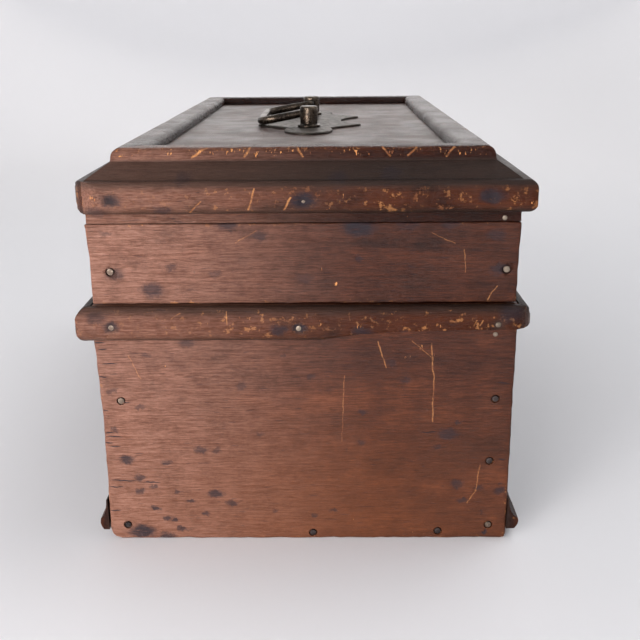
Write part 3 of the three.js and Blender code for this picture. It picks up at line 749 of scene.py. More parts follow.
def at_side(side, out, along, up):
    """A place given as out from the middle towards a side, along that side, and up."""
    turn = math.radians(TURNS[side])
    sine, cosine = math.sin(turn), math.cos(turn)
    return [out * cosine - along * sine, out * sine + along * cosine, up]


def section_places(half, step, nails):
    """Where a moulding has a section, as shares of its half length: closer together round each nail."""
    count = max(2, round(2 * half / step))
    shares = {2 * i / count - 1 for i in range(count + 1)}
    for along, _ in nails:
        for offset in (-2.4, -1.6, -0.8, 0, 0.8, 1.6, 2.4):
            shares.add((along + offset) / (half + 4.8))
    return sorted(shares)


def worn_depth(along, out, up, wear, rubbed, seed):
    """How much has gone from a moulding's surface: evenly at random, and in dents where it is rubbed."""
    uneven = 0.5 + 0.5 * wobble(along, out, up, 26, seed)
    dents = max(0.0, wobble(along, out * 2, up * 2, 4.5, seed + 9))
    return wear * (0.35 * uneven + rubbed * dents)


def moulding(node, profile, halves, wear_and_shade, material, seed, step, wear, cutters=(), reshape=None, nails=()):
    """A mitred moulding. Each profile point is (out from the face, height); the wear and shade function says
    how worn it is, and how much dusty colour it gets as painted shade.

    nails are places of nails, as (along, height), that get a small dimple, darkened as painted shade and
    soiling.
    """
    side = node.rsplit("_", 1)[1]
    face, half = spans(halves, side)
    count = len(profile)
    shares = section_places(half, step, nails)
    points, worn, dirt_and_shade = [], [], []
    for share in shares:
        for k, (out, up) in enumerate(profile):
            along = share * (half + out - SEAM)
            rubbed, grime_and_shade = wear_and_shade(out, up)
            depth = worn_depth(along, out, up, wear, rubbed, seed)
            for nail_along, nail_up in nails if out > 1.5 else ():
                near = math.exp(-(((along - nail_along) ** 2 + (up - nail_up) ** 2) / 2.6))
                depth += 0.55 * near
                # painted shade and soiling in the dimple round the nail
                grime_and_shade = max(grime_and_shade, min(1.0, 1.5 * near))
            (aout, aup), (bout, bup) = profile[k - 1], profile[(k + 1) % count]
            length = math.hypot(bout - aout, bup - aup) or 1
            out, up = out + (aup - bup) / length * depth, up + (bout - aout) / length * depth
            point = at_side(side, face + out, along, up)
            if reshape:
                reshape(point)
            points.append(point)
            worn.append(rubbed)
            dirt_and_shade.append(grime_and_shade)
    last = len(shares) - 1
    faces = [list(reversed(range(count))), [last * count + k for k in range(count)]]
    for here in range(0, last * count, count):
        for k in range(count):
            j = (k + 1) % count
            faces.append([here + j, here + count + j, here + count + k, here + k])
    layers = {"wear": worn, "seed": [seed] * len(points), "grime_and_shade": dirt_and_shade}
    stand_in(node, (points, faces), material, "moulding_wood", layers, cutters)


def bead_profile():
    """The half-round along the top edge of the base."""
    low, high = corners("base_bead_front")
    bottom, top = low[2], high[2]
    reach = high[0] - low[0]
    middle = (bottom + top) / 2 - 0.2
    curves = [
        [(SEAM + 0.9, bottom + 0.1)],
        [(SEAM + reach, bottom + 0.4), (SEAM + reach, middle)],
        [(SEAM + reach, top - 1.2), (SEAM + 1.7, top)],
        [(SEAM + 0.9, top)],
        [(SEAM, top)],
        [(SEAM, (bottom + top) / 2)],
    ]
    return curve_points((SEAM, bottom), *curves, steps=9)


def bead_wear_and_shade(out, up):
    # wear on the bead's outer half; painted shade, in a dusty colour, on its top, on its lower side and in
    # the corner against the board
    shaded_top = 0.8 * max(0.0, min(1.0, (up - BASE_TOP + 3.6) / 2.6))
    shaded_crevice = math.exp(-max(0.0, out - SEAM) / 0.9)
    shaded_underside = 0.75 * max(0.0, min(1.0, (BEAD_BOTTOM + 2.6 - up) / 2.2))
    return min(1.0, max(0.0, (out - 1.5) / 3.2)), max(shaded_crevice, shaded_top, shaded_underside)


def frame_profile():
    """The lid's frame: overhanging bead, rounded slope, top bead, flat top and the roll to the panel."""
    low, high = corners("lid_moulding_front")
    inner = low[0] - LID_HALF[0]
    bottom, top = low[2], high[2]
    lip = corners("lid_panel")[1][2] + 0.3
    groove = corners("lid_panel")[1][0] + 0.3 - LID_HALF[0]
    floor = corners("lid_panel")[0][2] - 0.3
    core = inner + 3.5
    curves = [
        [(0, bottom + 1.8)],
        [(0, bottom + 3.3)],
        [(1.2, bottom + 3.4)],
        [(4.9, bottom + 3.7), (4.9, bottom + 9.2)],
        [(4.7, bottom + 15.3), (0.6, bottom + 14.6)],
        [(0.0, bottom + 14.5)],
        [(-3.6, bottom + 17.2), (-7.8, bottom + 19.9)],
        [(-8, bottom + 20.9)],
        [(-8.2, top), (-11.2, top)],
        [(-14, top)],
        [(-17.2, top)],
        [(inner, top), (inner, lip)],
        [(groove, lip)],
        [(groove, floor)],
        [(core, floor)],
        [(core, bottom)],
    ]
    return curve_points((0, bottom), *curves, steps=8)


def frame_wear_and_shade(out, up):
    """Wear on the two beads. Painted shade, in a dusty colour, in the quirk, on the fillet and the lower
    bead's lower side and on that bead's top; the slope is darkened all over.
    """
    up -= corners("lid_moulding_front")[0][2]
    lower_bead = math.exp(-(((out - 4.6) / 1.6) ** 2)) if up < 13 else 0.0
    top_bead = math.exp(-((math.hypot(out + 10.2, up - 24) / 2.2) ** 2))
    inner_roll = 0.5 * math.exp(-((math.hypot(out + 19.6, up - 23.7) / 1.4) ** 2))
    dirt_and_shade = [math.exp(-math.hypot(out, up - 14.5) / 0.8)]
    if -7.9 <= out <= 0.1 and 14.4 < up < 20.8:
        dirt_and_shade.append(0.9)
    if out > 0.1:
        dirt_and_shade += [0.8 * min(1.0, (up - 11.2) / 2.4), 0.75 * min(1.0, (6.4 - up) / 2.4)]
    return max(lower_bead, top_bead, inner_roll), min(1.0, max(dirt_and_shade))


def foot_profile():
    low, high = corners("foot_moulding_front")
    reach = high[0] - low[0]
    bottom, top = low[2], high[2]
    curves = [
        [(SEAM + reach - 1.6, bottom)],
        [(SEAM + reach + 0.7, bottom + 2.4), (SEAM + reach - 0.35, bottom + 4.8)],
        [(SEAM + 1.2, bottom + 6), (SEAM + 0.8, top)],
        [(SEAM, top)],
        [(SEAM, (bottom + top) / 2)],
    ]
    return curve_points((SEAM, bottom), *curves, steps=7)


def foot_wear_and_shade(out, up):
    # wear on the foot's outer round; painted shade, in a dusty colour, where it meets the board
    return min(1.0, max(0.0, (out - 2.5) / 2.0)), 0.6 * math.exp(-max(0.0, out - 0.9) / 0.8)


def soft_corner(halves, reach, radii):
    """Rounds the outermost corners in plan. radii, by quadrant, are (at the top, at the bottom, from, to)."""
    def reshape(point):
        signs = tuple(1 if c > 0 else -1 for c in point[:2])
        above, below, low, high = radii[signs]
        radius = above + (below - above) * min(1.0, max(0.0, (high - point[2]) / (high - low)))
        corner = [sign * (half + reach) for sign, half in zip(signs, halves)]
        round_corner(point, corner, signs, radius, (0, 1))
    return reshape


def broken_lip(point):
    """The left bead's lower lip, split away towards the front and round the corner."""
    start, depth, spread = 4.0, 4.6, 15.0
    if point[0] <= start or point[1] > -118:
        return
    edge = corners("base_bead_left")[0][2] + depth * (1 - math.exp(-(point[0] - start) / spread))
    edge -= depth * max(0.0, (point[1] + 134) / 16)
    edge += 0.22 * wobble(point[0], point[1], 0, 3.5, 2.1)
    point[2] = max(point[2], edge)


def base_bead_shape(point):
    soft_corner(BASE_HALF, 5.0, BASE_CORNERS)(point)
    broken_lip(point)


BASE_CORNERS = {
    (-1, -1): (1.5, 2.5, 80, 84),
    (1, -1): (10, 13, 80, 84),
    (-1, 1): (2.6, 2.6, 80, 84),
    (1, 1): (3, 3, 80, 84),
}
LID_CORNERS = {
    (-1, -1): (9, 15, 136, 141),
    (1, -1): (2, 4, 125, 127),
    (-1, 1): (4, 5, 125, 131),
    (1, 1): (3, 6, 125, 131),
}


# ---- pieces: nails and screws


def round_head(name, place, out, radius, body, material, slot, stands_for=(), proud=0.12, slotted=False):
    """A flat or slightly domed head, with a short shank behind it."""
    profile = [(0, -1.6), (radius * 0.5, -1.6), (radius * 0.55, -0.8), (radius * 0.93, -0.55), (radius, -0.1)]
    profile += [(radius * 0.9, proud * 0.6), (radius * 0.6, proud), (radius * 0.25, proud * 1.1)]
    profile.append((0, proud * 1.1))
    shape = turned(profile, 20, place, out)
    for point in shape[0]:
        point += Vector(out) * 0.05 * wobble(*point, 0.9)
    cutters = []
    if slotted:
        turn = Vector((0, 0, 1)).rotation_difference(Vector(out)).to_matrix()
        turn = turn @ Matrix.Rotation(wobble(*place, 5) * math.pi, 3, "Z")
        points, faces = plain_block((-radius * 1.3, -0.2, -0.35), (radius * 1.3, 0.2, 1))
        cutters.append(([Vector(place) + turn @ Vector(p) for p in points], faces))
    piece(name, shape, body, material, slot, stands_for, cutters=cutters)


# Two more nails in the flat of the left end: the part, the place across and the height.
STRIP_NAILS = [("lid", 68.6, 122.9), ("base", 67.3, 81.4)]
BRIGHT_NAILS = ("nail_base_back_upper", "nail_base_front_lower", "nail_lid_back", "nail_lid_front")


def end_nails(material, rusty):
    """The nails of the left end, each where its CAD nail is. Most are rusted dark."""
    for node in [n for n in BODY_OF if n.startswith("nail_")]:
        place = (middle(node)[0], corners(node)[0][1] - 0.02, middle(node)[2])
        look = material if node in BRIGHT_NAILS else rusty
        round_head(f"{node}_head", place, (0, -1, 0), 1.2, BODY_OF[node], look, "dark_iron", [node])
    for part, x, z in STRIP_NAILS:
        place = (x, corners(f"{part}_left_end")[0][1] - 0.02, z)
        round_head(f"nail_strip_{part}", place, (0, -1, 0), 0.9, part, material, "dark_iron")


# Nails through the beads: side, place along it, height above the node's bottom, on the base or the lid.
BEAD_NAILS = [
    ("lid", "left", -64.4, 8.4), ("lid", "left", 0.3, 8.1), ("lid", "left", 63.4, 9.0),
    ("base", "left", -67.2, 5.9), ("base", "left", -1.9, 5.4), ("base", "left", 67.3, 6.4),
]
for nail_side in ("front", "back"):
    for nail_place in (-118, -62, -3, 57, 121):
        BEAD_NAILS += [("lid", nail_side, nail_place, 8.6), ("base", nail_side, nail_place + 6, 6.2)]
for nail_place in (-60, 3, 62):
    BEAD_NAILS += [("lid", "right", nail_place, 8.2), ("base", "right", nail_place - 4, 6.0)]
BEADS = {"lid": ("lid_moulding", LID_HALF, 4.55), "base": ("base_bead", BASE_HALF, 4.95)}
NAIL_SINK = 0.42


def nails_along(part, side):
    """The nails of one bead, as (along, height)."""
    bottom = corners(f"{BEADS[part][0]}_{side}")[0][2]
    return [(along, bottom + height) for p, s, along, height in BEAD_NAILS if (p, s) == (part, side)]


def bead_nails(material):
    """Nail heads on the crests of the beads, each a little sunk."""
    for count, (part, side, along, height) in enumerate(BEAD_NAILS):
        node, halves, reach = BEADS[part]
        out = spans(halves, side)[0] + reach - NAIL_SINK
        place = at_side(side, out, along, corners(f"{node}_{side}")[0][2] + height)
        name = f"nail_bead_{part}_{side}_{count}"
        round_head(name, place, at_side(side, 1, 0, 0), 1.0, part, material, "dark_iron")


# ---- pieces: handle


def handle_plate_outline():
    """The plate's outline: round end lobes and a pointed wing on each side of each post."""
    wing, end, _ = corners("handle_backplate")[1]
    waist = 0.62 * wing
    quarter = curve_points(
        (waist, 0),
        [(waist + 0.6, 12), (wing, 20)],
        [(15.6, 26.4), (9.4, 35)],
        [(10.2, 37), (10.5, 43)],
        [(10, end - 4.5), (4.6, end - 1.6)],
        [(1.6, end), (0, end)],
        steps=9,
    )
    back = [(-x, y) for x, y in reversed(quarter[:-1])]
    upper = quarter + back
    lower = [(-x, -y) for x, y in upper[1:-1]]
    return upper + lower


def backplate(material):
    low, high = corners("handle_backplate")

    def lay(x, y, z):
        dish = 0.0 if z <= low[2] else -0.06 * (0.5 + 0.5 * wobble(x, y, 0, 9))
        return (x, y, z + dish)

    shape = sheet_metal(handle_plate_outline(), low[2], high[2], 0.28, lay)
    count = len(shape[0]) // 3
    wear = [0.3] * count + [1.0] * count + [0.7] * count
    stand_in("handle_backplate", shape, material, "aged_brass", {"wear": wear})


def handle_post(node, material):
    """A round post on a flange, flat on top, with a hole for the bail's pin."""
    low, high = corners(node)
    along = middle(node)[1]
    foot = corners("handle_backplate")[1][2] + 0.05
    radius, flange, stud = 4.0, 5.1, 1.9
    top = high[2]
    profile = [
        (0, low[2]), (stud, low[2]), (stud, foot), (flange - 0.2, foot), (flange, foot + 0.25),
        (flange, foot + 0.7), (flange - 0.25, foot + 1.0), (radius + 0.15, foot + 1.15),
        (radius - 0.1, foot + 1.4), (radius - 0.12, foot + 4), (radius - 0.05, top - 1.9),
        (radius, top - 0.75), (radius - 0.12, top - 0.5), (radius - 0.55, top - 0.12),
        (radius - 0.8, top - 0.04), (radius - 1.3, top - 0.02), (radius - 2.5, top - 0.01), (0, top),
    ]
    shape = turned(profile, 48, (middle(node)[0], along, 0))
    inward = -1 if along > 0 else 1
    mouth = (0, along + inward * radius, pivot("bail_pivot")[2])
    pin_room, depth = 1.75, 6.4
    hole = drill(mouth, (0, inward, 0), pin_room, depth)
    wear = [1.0 if top - 0.9 < z < top - 0.03 or z < foot + 1.1 else 0.2 for _, _, z in shape[0]]
    stand_in(node, shape, material, "aged_brass", {"wear": wear}, [hole])


def bail(material):
    """The bail, lying to the back and thicker in its grip. Its pins point outwards into the posts."""
    pin_end = corners("handle_bail")[1][1]
    height = pivot("bail_pivot")[2]
    droop = math.radians((JOINTS["bail_pivot"]["range_deg"][1] - 180) / 2)
    reach, half, sides = 22.5, 25.4, 20
    flat = curve_points(
        (0, pin_end),
        [(0, half + 5)],
        [(0, half + 2)],
        [(0, half), (2, half)],
        *([(x, half)] for x in (5, 9, 13, 16, reach - 7)),
        [(reach, half), (reach, half - 8)],
        *([(reach, y)] for y in (half - 12, half - 16, half - 20, 0)),
        steps=7,
    )
    flat += [(x, -y) for x, y in reversed(flat[:-1])]
    path, radii, worn = [], [], []
    for x, y in flat:
        path.append(Vector((-x * math.cos(droop), y, height - x * math.sin(droop))))
        swell = min(1.0, x / reach)
        radii.append(1.4 + 0.42 * (1 - (1 - swell) ** 3))
        worn += [swell] * sides
    stand_in("handle_bail", swept(path, radii, sides), material, "aged_brass", {"wear": worn})


# ---- pieces: hinges, lock and key


LEAF_GAP = 0.3  # from the pin's axis to each leaf


def hinge_leaf(node, knuckles, material):
    """A leaf with its round knuckles, each given by its limits along the pin from the leaf's middle."""
    low, high = corners(node)
    axis = pivot("lid_hinge")
    along = middle(node)[1]
    radius, thick = 2.38, 1.2
    bottom = axis[2] + LEAF_GAP if "lid" in node else axis[2] - LEAF_GAP - thick
    plate_low = (axis[0] + radius + 0.3, low[1], bottom)
    plate, worn = rounded_block(plate_low, (high[0], high[1], bottom + thick), 0.25, 8, 0.1, 1.0)
    shapes = [plate]
    for start, end in knuckles:
        length = end - start
        profile = [(0, 0), (radius - 0.2, 0), (radius, 0.2), (radius, length - 0.2), (radius - 0.2, length)]
        profile.append((0, length))
        shapes.append(turned(profile, 36, (axis[0], along + start, axis[2]), (0, 1, 0)))
        tab_low = (axis[0] + 1.6, along + start, bottom + 0.05)
        tab_high = (axis[0] + radius + 1, along + end, bottom + thick - 0.05)
        shapes.append(plain_block(tab_low, tab_high))
    shape = together(*shapes)
    wear = worn + [0.6] * (len(shape[0]) - len(worn))
    stand_in(node, shape, material, "aged_brass", {"wear": wear})


def hinge_pin(node, material):
    low, high = corners(node)
    x, _, z = pivot("lid_hinge")
    length = high[1] - low[1]
    profile = [(0, 0), (0.75, 0), (1.0, 0.3), (1.0, length - 0.3), (0.75, length), (0, length)]
    stand_in(node, turned(profile, 24, (x, low[1], z), (0, 1, 0)), material, "aged_brass")


def hinges(material):
    inset = 3.6
    screw = {"radius": 1.7, "material": material, "slot": "aged_brass", "proud": 0.08, "slotted": True}
    for side in ("left", "right"):
        hinge_leaf(f"hinge_{side}_base_leaf", [(-20, -7.4), (7.4, 20)], material)
        hinge_leaf(f"hinge_{side}_lid_leaf", [(-7, 7)], material)
        hinge_pin(f"hinge_{side}_pin", material)
        for part, out in (("base", 1), ("lid", -1)):
            leaf = f"hinge_{side}_{part}_leaf"
            x, face = corners(leaf)[1][0] - inset, pivot("lid_hinge")[2] - out * LEAF_GAP
            for count, along in enumerate((-14, 0, 14)):
                place = (x, middle(leaf)[1] + along, face)
                name = f"hinge_screw_{side}_{part}_{count}"
                round_head(name, place, (0, 0, out), body=part, **screw)


def lock_parts(material, steel):
    """The lock's flat parts keep their CAD shape, with eased edges. Their screws are added."""
    for node in ("lock_plate", "lock_cap", "lock_bolt", "lock_spring", "lock_link_plate"):
        ease(node, material, 0.18)
    for node in ("handle_nut_left", "handle_nut_right"):
        ease(node, steel, 0.3)
    screw = {"material": material, "slot": "lock_brass", "slotted": True}
    link_thickness = 1.2
    plate_low = corners("lock_plate")[0]
    for count, (y, z) in enumerate(((-20, 65), (20, 65), (-20, 87), (20, 87))):
        round_head(f"lock_screw_{count}", (plate_low[0], y, z), (-1, 0, 0), 1.6, "base", **screw)
    bottom = corners("lock_link_plate")[1][2] - link_thickness
    for count, y in enumerate((-18, 0)):
        place = (middle("lock_plate")[0], y, bottom)
        round_head(f"link_screw_{count}", place, (0, 0, -1), 1.5, "lid", proud=0.08, **screw)


def ease(node, material, width):
    """Gives a CAD node's own mesh a material and narrow bevels."""
    obj = frame["nodes"][node]
    obj.data.materials.clear()
    obj.data.materials.append(material)
    bevel = obj.modifiers.new("eased", "BEVEL")
    bevel.width = width * MM
    bevel.segments = 2
    bevel.limit_method = "ANGLE"
    bevel.angle_limit = math.radians(40)


def keyhole_radius(angle, radius, half_slot, drop):
    """How far the keyhole's edge is from its centre, at an angle from straight down."""
    angle = abs((angle + math.pi) % (2 * math.pi) - math.pi)
    if angle >= math.asin(half_slot / radius):
        return radius
    return min(drop / math.cos(angle), half_slot / max(1e-6, math.sin(angle)))


def escutcheon(material):
    """A crowned oval plate round the keyhole, with two pins."""
    low, high = corners("escutcheon")
    z = pivot("key_turn")[2]
    half_y, half_z = (high[1] - low[1]) / 2, (high[2] - low[2]) / 2
    hole, half_slot, drop = 2.6, 1.2, 9.6
    slot_edge, slot_end = math.asin(half_slot / hole), 0.124
    angles = {2 * math.pi * i / 72 for i in range(72)}
    angles |= {slot_edge, -slot_edge % (2 * math.pi), slot_end, 2 * math.pi - slot_end}
    rings = [(0, 0.0), (0, 0.85), (0.5, 1.0), (0.8, 0.85), (0.97, 0.5), (1, 0.2), (1, 0.0)]
    points = []
    for share, rise in rings:
        for angle in sorted(angles):
            inner = keyhole_radius(angle, hole, half_slot, drop)
            outer = 1 / math.hypot(math.sin(angle) / half_y, math.cos(angle) / half_z)
            distance = inner + (outer - inner) * share
            x = low[0] + (high[0] - low[0]) * rise
            points.append((x, distance * math.sin(angle), z - distance * math.cos(angle)))
    faces = ring_faces(len(rings), len(angles), closed=True)
    wear = [0.9 if rise > 0.8 else 0.3 for _, rise in rings for _ in angles]
    stand_in("escutcheon", (points, faces), material, "lock_brass", {"wear": wear})
    for name, up in (("escutcheon_pin_top", half_z - 2.2), ("escutcheon_pin_bottom", -half_z + 1.3)):
        place = (low[0] + 0.55, 0, z + up)
        round_head(name, place, (1, 0, 0), 0.7, "base", material, "lock_brass", proud=0.3)


def ring_bar(centre, half_x, half_z, radius, segments=40, sides=12):
    """A closed oval ring of round bar, in the XZ plane."""
    points = []
    for i in range(segments):
        angle = 2 * math.pi * i / segments
        sine, cosine = math.sin(angle), math.cos(angle)
        core = Vector((centre[0] + half_x * cosine, centre[1], centre[2] + half_z * sine))
        out = Vector((cosine / half_x, 0, sine / half_z)).normalized()
        for k in range(sides):
            turn = 2 * math.pi * k / sides
            points.append(core + out * radius * math.cos(turn) + Vector((0, radius * math.sin(turn), 0)))
    return points, ring_faces(segments, sides, closed=True)


def key(material):
    """The key in the lock: turned shank with collars, oval bow and bit, leaning back by half of its turn."""
    low, high = corners("key")
    _, y, z = pivot("key_turn")
    lean = Matrix.Rotation(math.radians(JOINTS["key_turn"]["range_deg"][1] / 2), 3, "X")
    start, tip = low[0], high[0]
    bow, bar = 15.0, 1.35
    end = tip - bow + 1.2 - start
    profile = [
        (0, 0), (1.7, 0), (2.0, 0.3), (2.0, 9), (2.0, 10.6), (3.0, 10.9), (3.2, 11.6), (3.0, 12.3),
        (2.0, 12.6), (1.9, end - 2.6), (2.7, end - 2.2), (2.8, end - 1.4), (2.0, end - 0.9),
        (1.6, end), (0, end),
    ]
    shank = turned(profile, 28, (start, 0, 0), (1, 0, 0))
    ring = ring_bar((tip - bow / 2, 0, 0), bow / 2 - bar, 7.6, bar)
    bolt_low, bolt_high = corners("lock_bolt")
    bit, _ = rounded_block((bolt_low[0], -0.8, 0), (bolt_high[0], 0.8, 9), 0.2, 3, 0.05, 2.0)
    points, faces = together(shank, ring, bit)
    points = [lean @ Vector(p) + Vector((0, y, z)) for p in points]
    stand_in("key", (points, faces), material, "dark_iron", {"wear": [0.7] * len(points)})


# ---- recesses


def hinge_recesses(part):
    """Room in the back wood for the hinges, below the parting line or above it."""
    x, _, z = pivot("lid_hinge")
    way = 1 if part == "lid" else -1
    cutters = []
    for side in ("left", "right"):
        low, high = corners(f"hinge_{side}_{part}_leaf")
        for far_x, near_x, deep in ((x + 2.4, high[0] + 0.3, 1.8), (x - 8, x + 2.8, 2.8)):
            bottom, top = sorted((z + way * deep, z - way))
            cutters.append(plain_block((far_x, low[1] - 0.3, bottom), (near_x, high[1] + 0.3, top)))
    return cutters


def lock_pocket():
    """Room in the front board for the lock, and the keyhole through to the outside."""
    low, high = corners("lock_plate")
    cap = corners("lock_cap")[1][0]
    z = pivot("key_turn")[2]
    outside = corners("base_front_board")[1][0] + 2
    pocket = plain_block((low[0] - 2, low[1] - 0.3, low[2] - 0.3), (cap + 0.4, high[1] + 0.3, high[2] + 3))
    eye = drill((outside, 0, z), (1, 0, 0), 2.9, 8)
    slot = plain_block((cap, -1.4, z - 9.8), (outside, 1.4, z))
    return [pocket, slot, eye]


def link_recess():
    """Room in the lid's front board for the link plate."""
    low, high = corners("lock_link_plate")
    return [
        plain_block((low[0] - 2, low[1] - 0.3, high[2] - 3), (high[0] + 0.3, high[1] + 0.3, high[2] + 0.4))
    ]


# ---- the box


def box_woods():
    stained_x, stained_y = wood("stained_cross", STAINED, 0), wood("stained_long", STAINED, 1)
    # the last two numbers: how much more orange towards the table, and how much painted sheen towards the
    # back
    base_end = wood("stained_base_end", STAINED, 0, BASE_MARKS, 0.45, 0.7)
    lid_end = wood("stained_lid_end", STAINED, 0, LID_MARKS, 0.0, 0.8)
    base_holes = nail_cutters([n for n in BODY_OF if n.startswith(("nail_base", "nail_bottom"))])
    lid_holes = nail_cutters([n for n in BODY_OF if n.startswith("nail_lid")])
    # node, material, seed, edge radius, wear, spacing of points, what is cut out, how it is reshaped
    for node, material, *settings in (
        ("base_left_end", base_end, 0.0, 0.8, 0.5, 2.5, base_holes, worn_base_end),
        ("base_right_end", stained_x, 1.3, 1.0, 0.5, 3),
        ("base_front_board", stained_y, 2.1, 0.6, 0.4, 4, lock_pocket()),
        ("base_back_board", stained_y, 3.7, 0.6, 0.4, 4, hinge_recesses("base")),
        ("lid_left_end", lid_end, 4.2, 0.6, 0.4, 2.5, lid_holes, flared_lid_end),
        ("lid_right_end", stained_x, 5.9, 0.8, 0.5, 3),
        ("lid_front_board", stained_y, 6.4, 0.6, 0.4, 4, link_recess()),
        ("lid_back_board", stained_y, 7.8, 0.6, 0.4, 4, hinge_recesses("lid")),
        ("lid_panel", wood("stained_panel", {**STAINED, "shine": 0.28, "gloss": 0.36}, 1), 8.5, 0.3, 0.1, 8),
    ):
        board(node, material, "stained_wood", *settings)


def box_mouldings():
    cross, along = wood("moulding_cross", MOULDING, 0), wood("moulding_long", {**MOULDING, "shine": 0.08}, 1)
    near = {**MOULDING, "shine": 0.1, "crest_and_highlight": 0.4}
    # the last number is how much painted sheen lightens the left end's beads towards the back
    lid_left = wood("moulding_lid_left", near, 0, LID_BEAD_MARKS, 0.0, 0.66)
    base_left = wood("moulding_base_left", near, 0, BASE_BEAD_MARKS, 0.0, 0.56)
    lid = (frame_profile(), LID_HALF, frame_wear_and_shade, soft_corner(LID_HALF, 4.9, LID_CORNERS))
    base = (bead_profile(), BASE_HALF, bead_wear_and_shade, base_bead_shape)
    for part, look, left, wear, seed, seed_step in (
        ("lid", lid, lid_left, 0.4, 10.0, 2.3), ("base", base, base_left, 0.45, 20.0, 1.7)
    ):
        profile, halves, wear_and_shade, reshape = look
        long_side = (along, 3.5)
        sides = {"front": long_side, "right": (cross, 3), "back": long_side, "left": (left, 1.5)}
        for side, (material, step) in sides.items():
            cutters = hinge_recesses("base") if (part, side) == ("base", "back") else ()
            moulding(
                f"{BEADS[part][0]}_{side}", profile, halves, wear_and_shade, material,
                seed + seed_step * TURNS[side] / 90, step, wear, cutters, reshape, nails_along(part, side),
            )
    run = (BASE_HALF[0], corners("foot_moulding_front")[1][1])
    for side in ("front", "back"):
        moulding(
            f"foot_moulding_{side}", foot_profile(), run, foot_wear_and_shade, along, 31.0, 3, 0.4,
            reshape=square_ends,
        )


def square_ends(point):
    """The foot mouldings are cut square, flush with the ends. The back one is worn thinner."""
    limit = corners("foot_moulding_front")[1][1]
    point[1] = max(-limit, min(limit, point[1]))
    if point[0] < 0:
        face = -BASE_HALF[0]
        point[0] = face + 0.72 * (point[0] - face)


def box_inside():
    inside, inside_cross = wood("plain_long", PLAIN, 1), wood("plain_cross", PLAIN, 0)
    board("bottom_board", inside, "plain_wood", 40.0, 0.3, 0.1, 10)
    long_pieces = (
        "till_ledge_front", "till_ledge_back", "till_bottom", "till_front_side", "till_back_side",
        "till_long_divider",
    )
    cross_pieces = ("till_left_end", "till_right_end", "till_divider_left", "till_divider_right")
    for nodes, material, seed in ((long_pieces, inside, 41.0), (cross_pieces, inside_cross, 51.0)):
        for count, node in enumerate(nodes):
            board(node, material, "plain_wood", seed + count, 0.4, 0.2, 8)


def box_metalwork():
    brass = metal("aged_brass", srgb(46, 40, 33), srgb(104, 92, 74), srgb(48, 48, 43), 0.36)
    plate = metal("plate_brass", srgb(50, 46, 42), srgb(98, 91, 84), srgb(64, 64, 60), 0.44)
    dark = metal("post_brass", srgb(34, 28, 24), srgb(96, 84, 72), srgb(34, 32, 30), 0.27, 0.5, 0.3)
    yellow = metal("lock_brass", srgb(118, 92, 46), srgb(176, 144, 84), srgb(82, 70, 46), 0.34)
    iron = metal("dark_iron", srgb(58, 52, 48), srgb(120, 112, 102), srgb(66, 52, 44), 0.45)
    nails = metal("nail_iron", srgb(78, 68, 60), srgb(138, 126, 112), srgb(84, 64, 50), 0.45, 0.3, 0.7)
    rusty = metal("nail_rusty", srgb(34, 30, 31), srgb(74, 66, 64), srgb(52, 42, 38), 0.5, 0.25, 0.7)
    end_nails(nails, rusty)
    bead_nails(nails)
    backplate(plate)
    for side in ("left", "right"):
        handle_post(f"handle_post_{side}", dark)
    bail(dark)
    hinges(brass)
    lock_parts(yellow, iron)
    escutcheon(yellow)
    key(iron)


# ---- surroundings


def stage_bowl():
    """A pale floor, in metres, that curves up into a pale wall all round."""
    floor, bend, height, segments, steps = 0.95, 0.4, 1.5, 96, 12
    profile = [(0.0, 0.0), (0.3, 0.0), (0.6, 0.0), (floor, 0.0)]
    for i in range(1, steps + 1):
        angle = math.pi / 2 * i / steps
        profile.append((floor + bend * math.sin(angle), bend * (1 - math.cos(angle))))
    profile += [(floor + bend, height), (0, height)]
    points, faces = turned(profile, segments, (0, 0, 0))
    open_faces = [face[::-1] for face in faces[:-segments]]
    mesh = bpy.data.meshes.new("stage_bowl")
    mesh.from_pydata(points[:-1], [], open_faces)
    mesh.shade_smooth()
    mesh.materials.append(Graph("stage_paper").finish(srgb(232, 232, 234), 0.9))
    bowl = bpy.data.objects.new("stage_bowl", mesh)
    bpy.context.collection.objects.link(bowl)


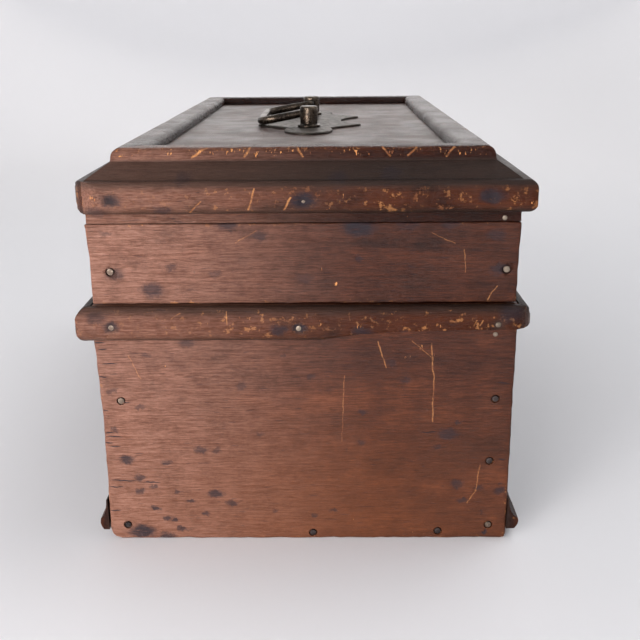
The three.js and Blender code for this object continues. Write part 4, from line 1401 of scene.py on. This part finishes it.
def lamp(name, place, target, size, power, colour):
    data = bpy.data.lights.new(name, "AREA")
    data.shape = "RECTANGLE"
    data.size, data.size_y = size
    data.energy = power
    data.color = colour
    obj = bpy.data.objects.new(name, data)
    obj.location = place
    obj.rotation_euler = (Vector(target) - Vector(place)).to_track_quat("-Z", "Y").to_euler()
    obj.visible_camera = False
    bpy.context.collection.objects.link(obj)


def lights():
    world = bpy.data.worlds.new("studio")
    world.use_nodes = True
    sky = world.node_tree.nodes["Background"].inputs
    sky["Color"].default_value = (0.95, 0.97, 1.0, 1)
    sky["Strength"].default_value = 0.3
    bpy.context.scene.world = world
    lamp("front", (-0.75, -0.92, 0.55), (0, 0, 0.08), (0.5, 0.5), 4.9, (1.0, 0.98, 0.96))
    lamp("sheen", (-0.36, -0.85, 0.11), (-0.06, -0.14, 0.1), (0.4, 0.18), 8.6, (1.0, 0.96, 0.97))
    lamp("back", (0.0, 1.12, 0.5), (0, 0.05, 0.14), (1.1, 0.45), 1.7, (1.0, 0.93, 0.86))
    lamp("over", (0.55, 0.2, 1.3), (0, 0, 0.05), (0.8, 0.8), 5.0, (0.98, 0.99, 1.0))
    lamp("wall", (-0.3, 0.2, 1.25), (0, 1.3, 0.35), (0.9, 0.5), 0.8, (1.0, 0.99, 0.98))
    bpy.context.scene.view_settings.view_transform = "Standard"


def camera():
    """Looking along the box from beyond its left end, a little above it."""
    data = bpy.data.cameras.new("camera")
    data.sensor_width = 36
    data.lens = 51.4
    data.clip_start = 0.01
    cam = bpy.data.objects.new("camera", data)
    yaw, pitch, roll = (math.radians(a) for a in (0.735, -17.463, 0.499))
    turn = Matrix.Rotation(yaw, 4, "Z") @ Matrix.Rotation(pitch, 4, "X") @ Matrix.Rotation(roll, 4, "Y")
    turn = turn @ Matrix.Rotation(math.pi / 2, 4, "X")
    cam.matrix_world = Matrix.Translation((0.00945, -0.44633, 0.18338)) @ turn
    bpy.context.collection.objects.link(cam)
    bpy.context.scene.camera = cam


camera()
box_woods()
box_mouldings()
box_inside()
box_metalwork()
stage_bowl()
lights()
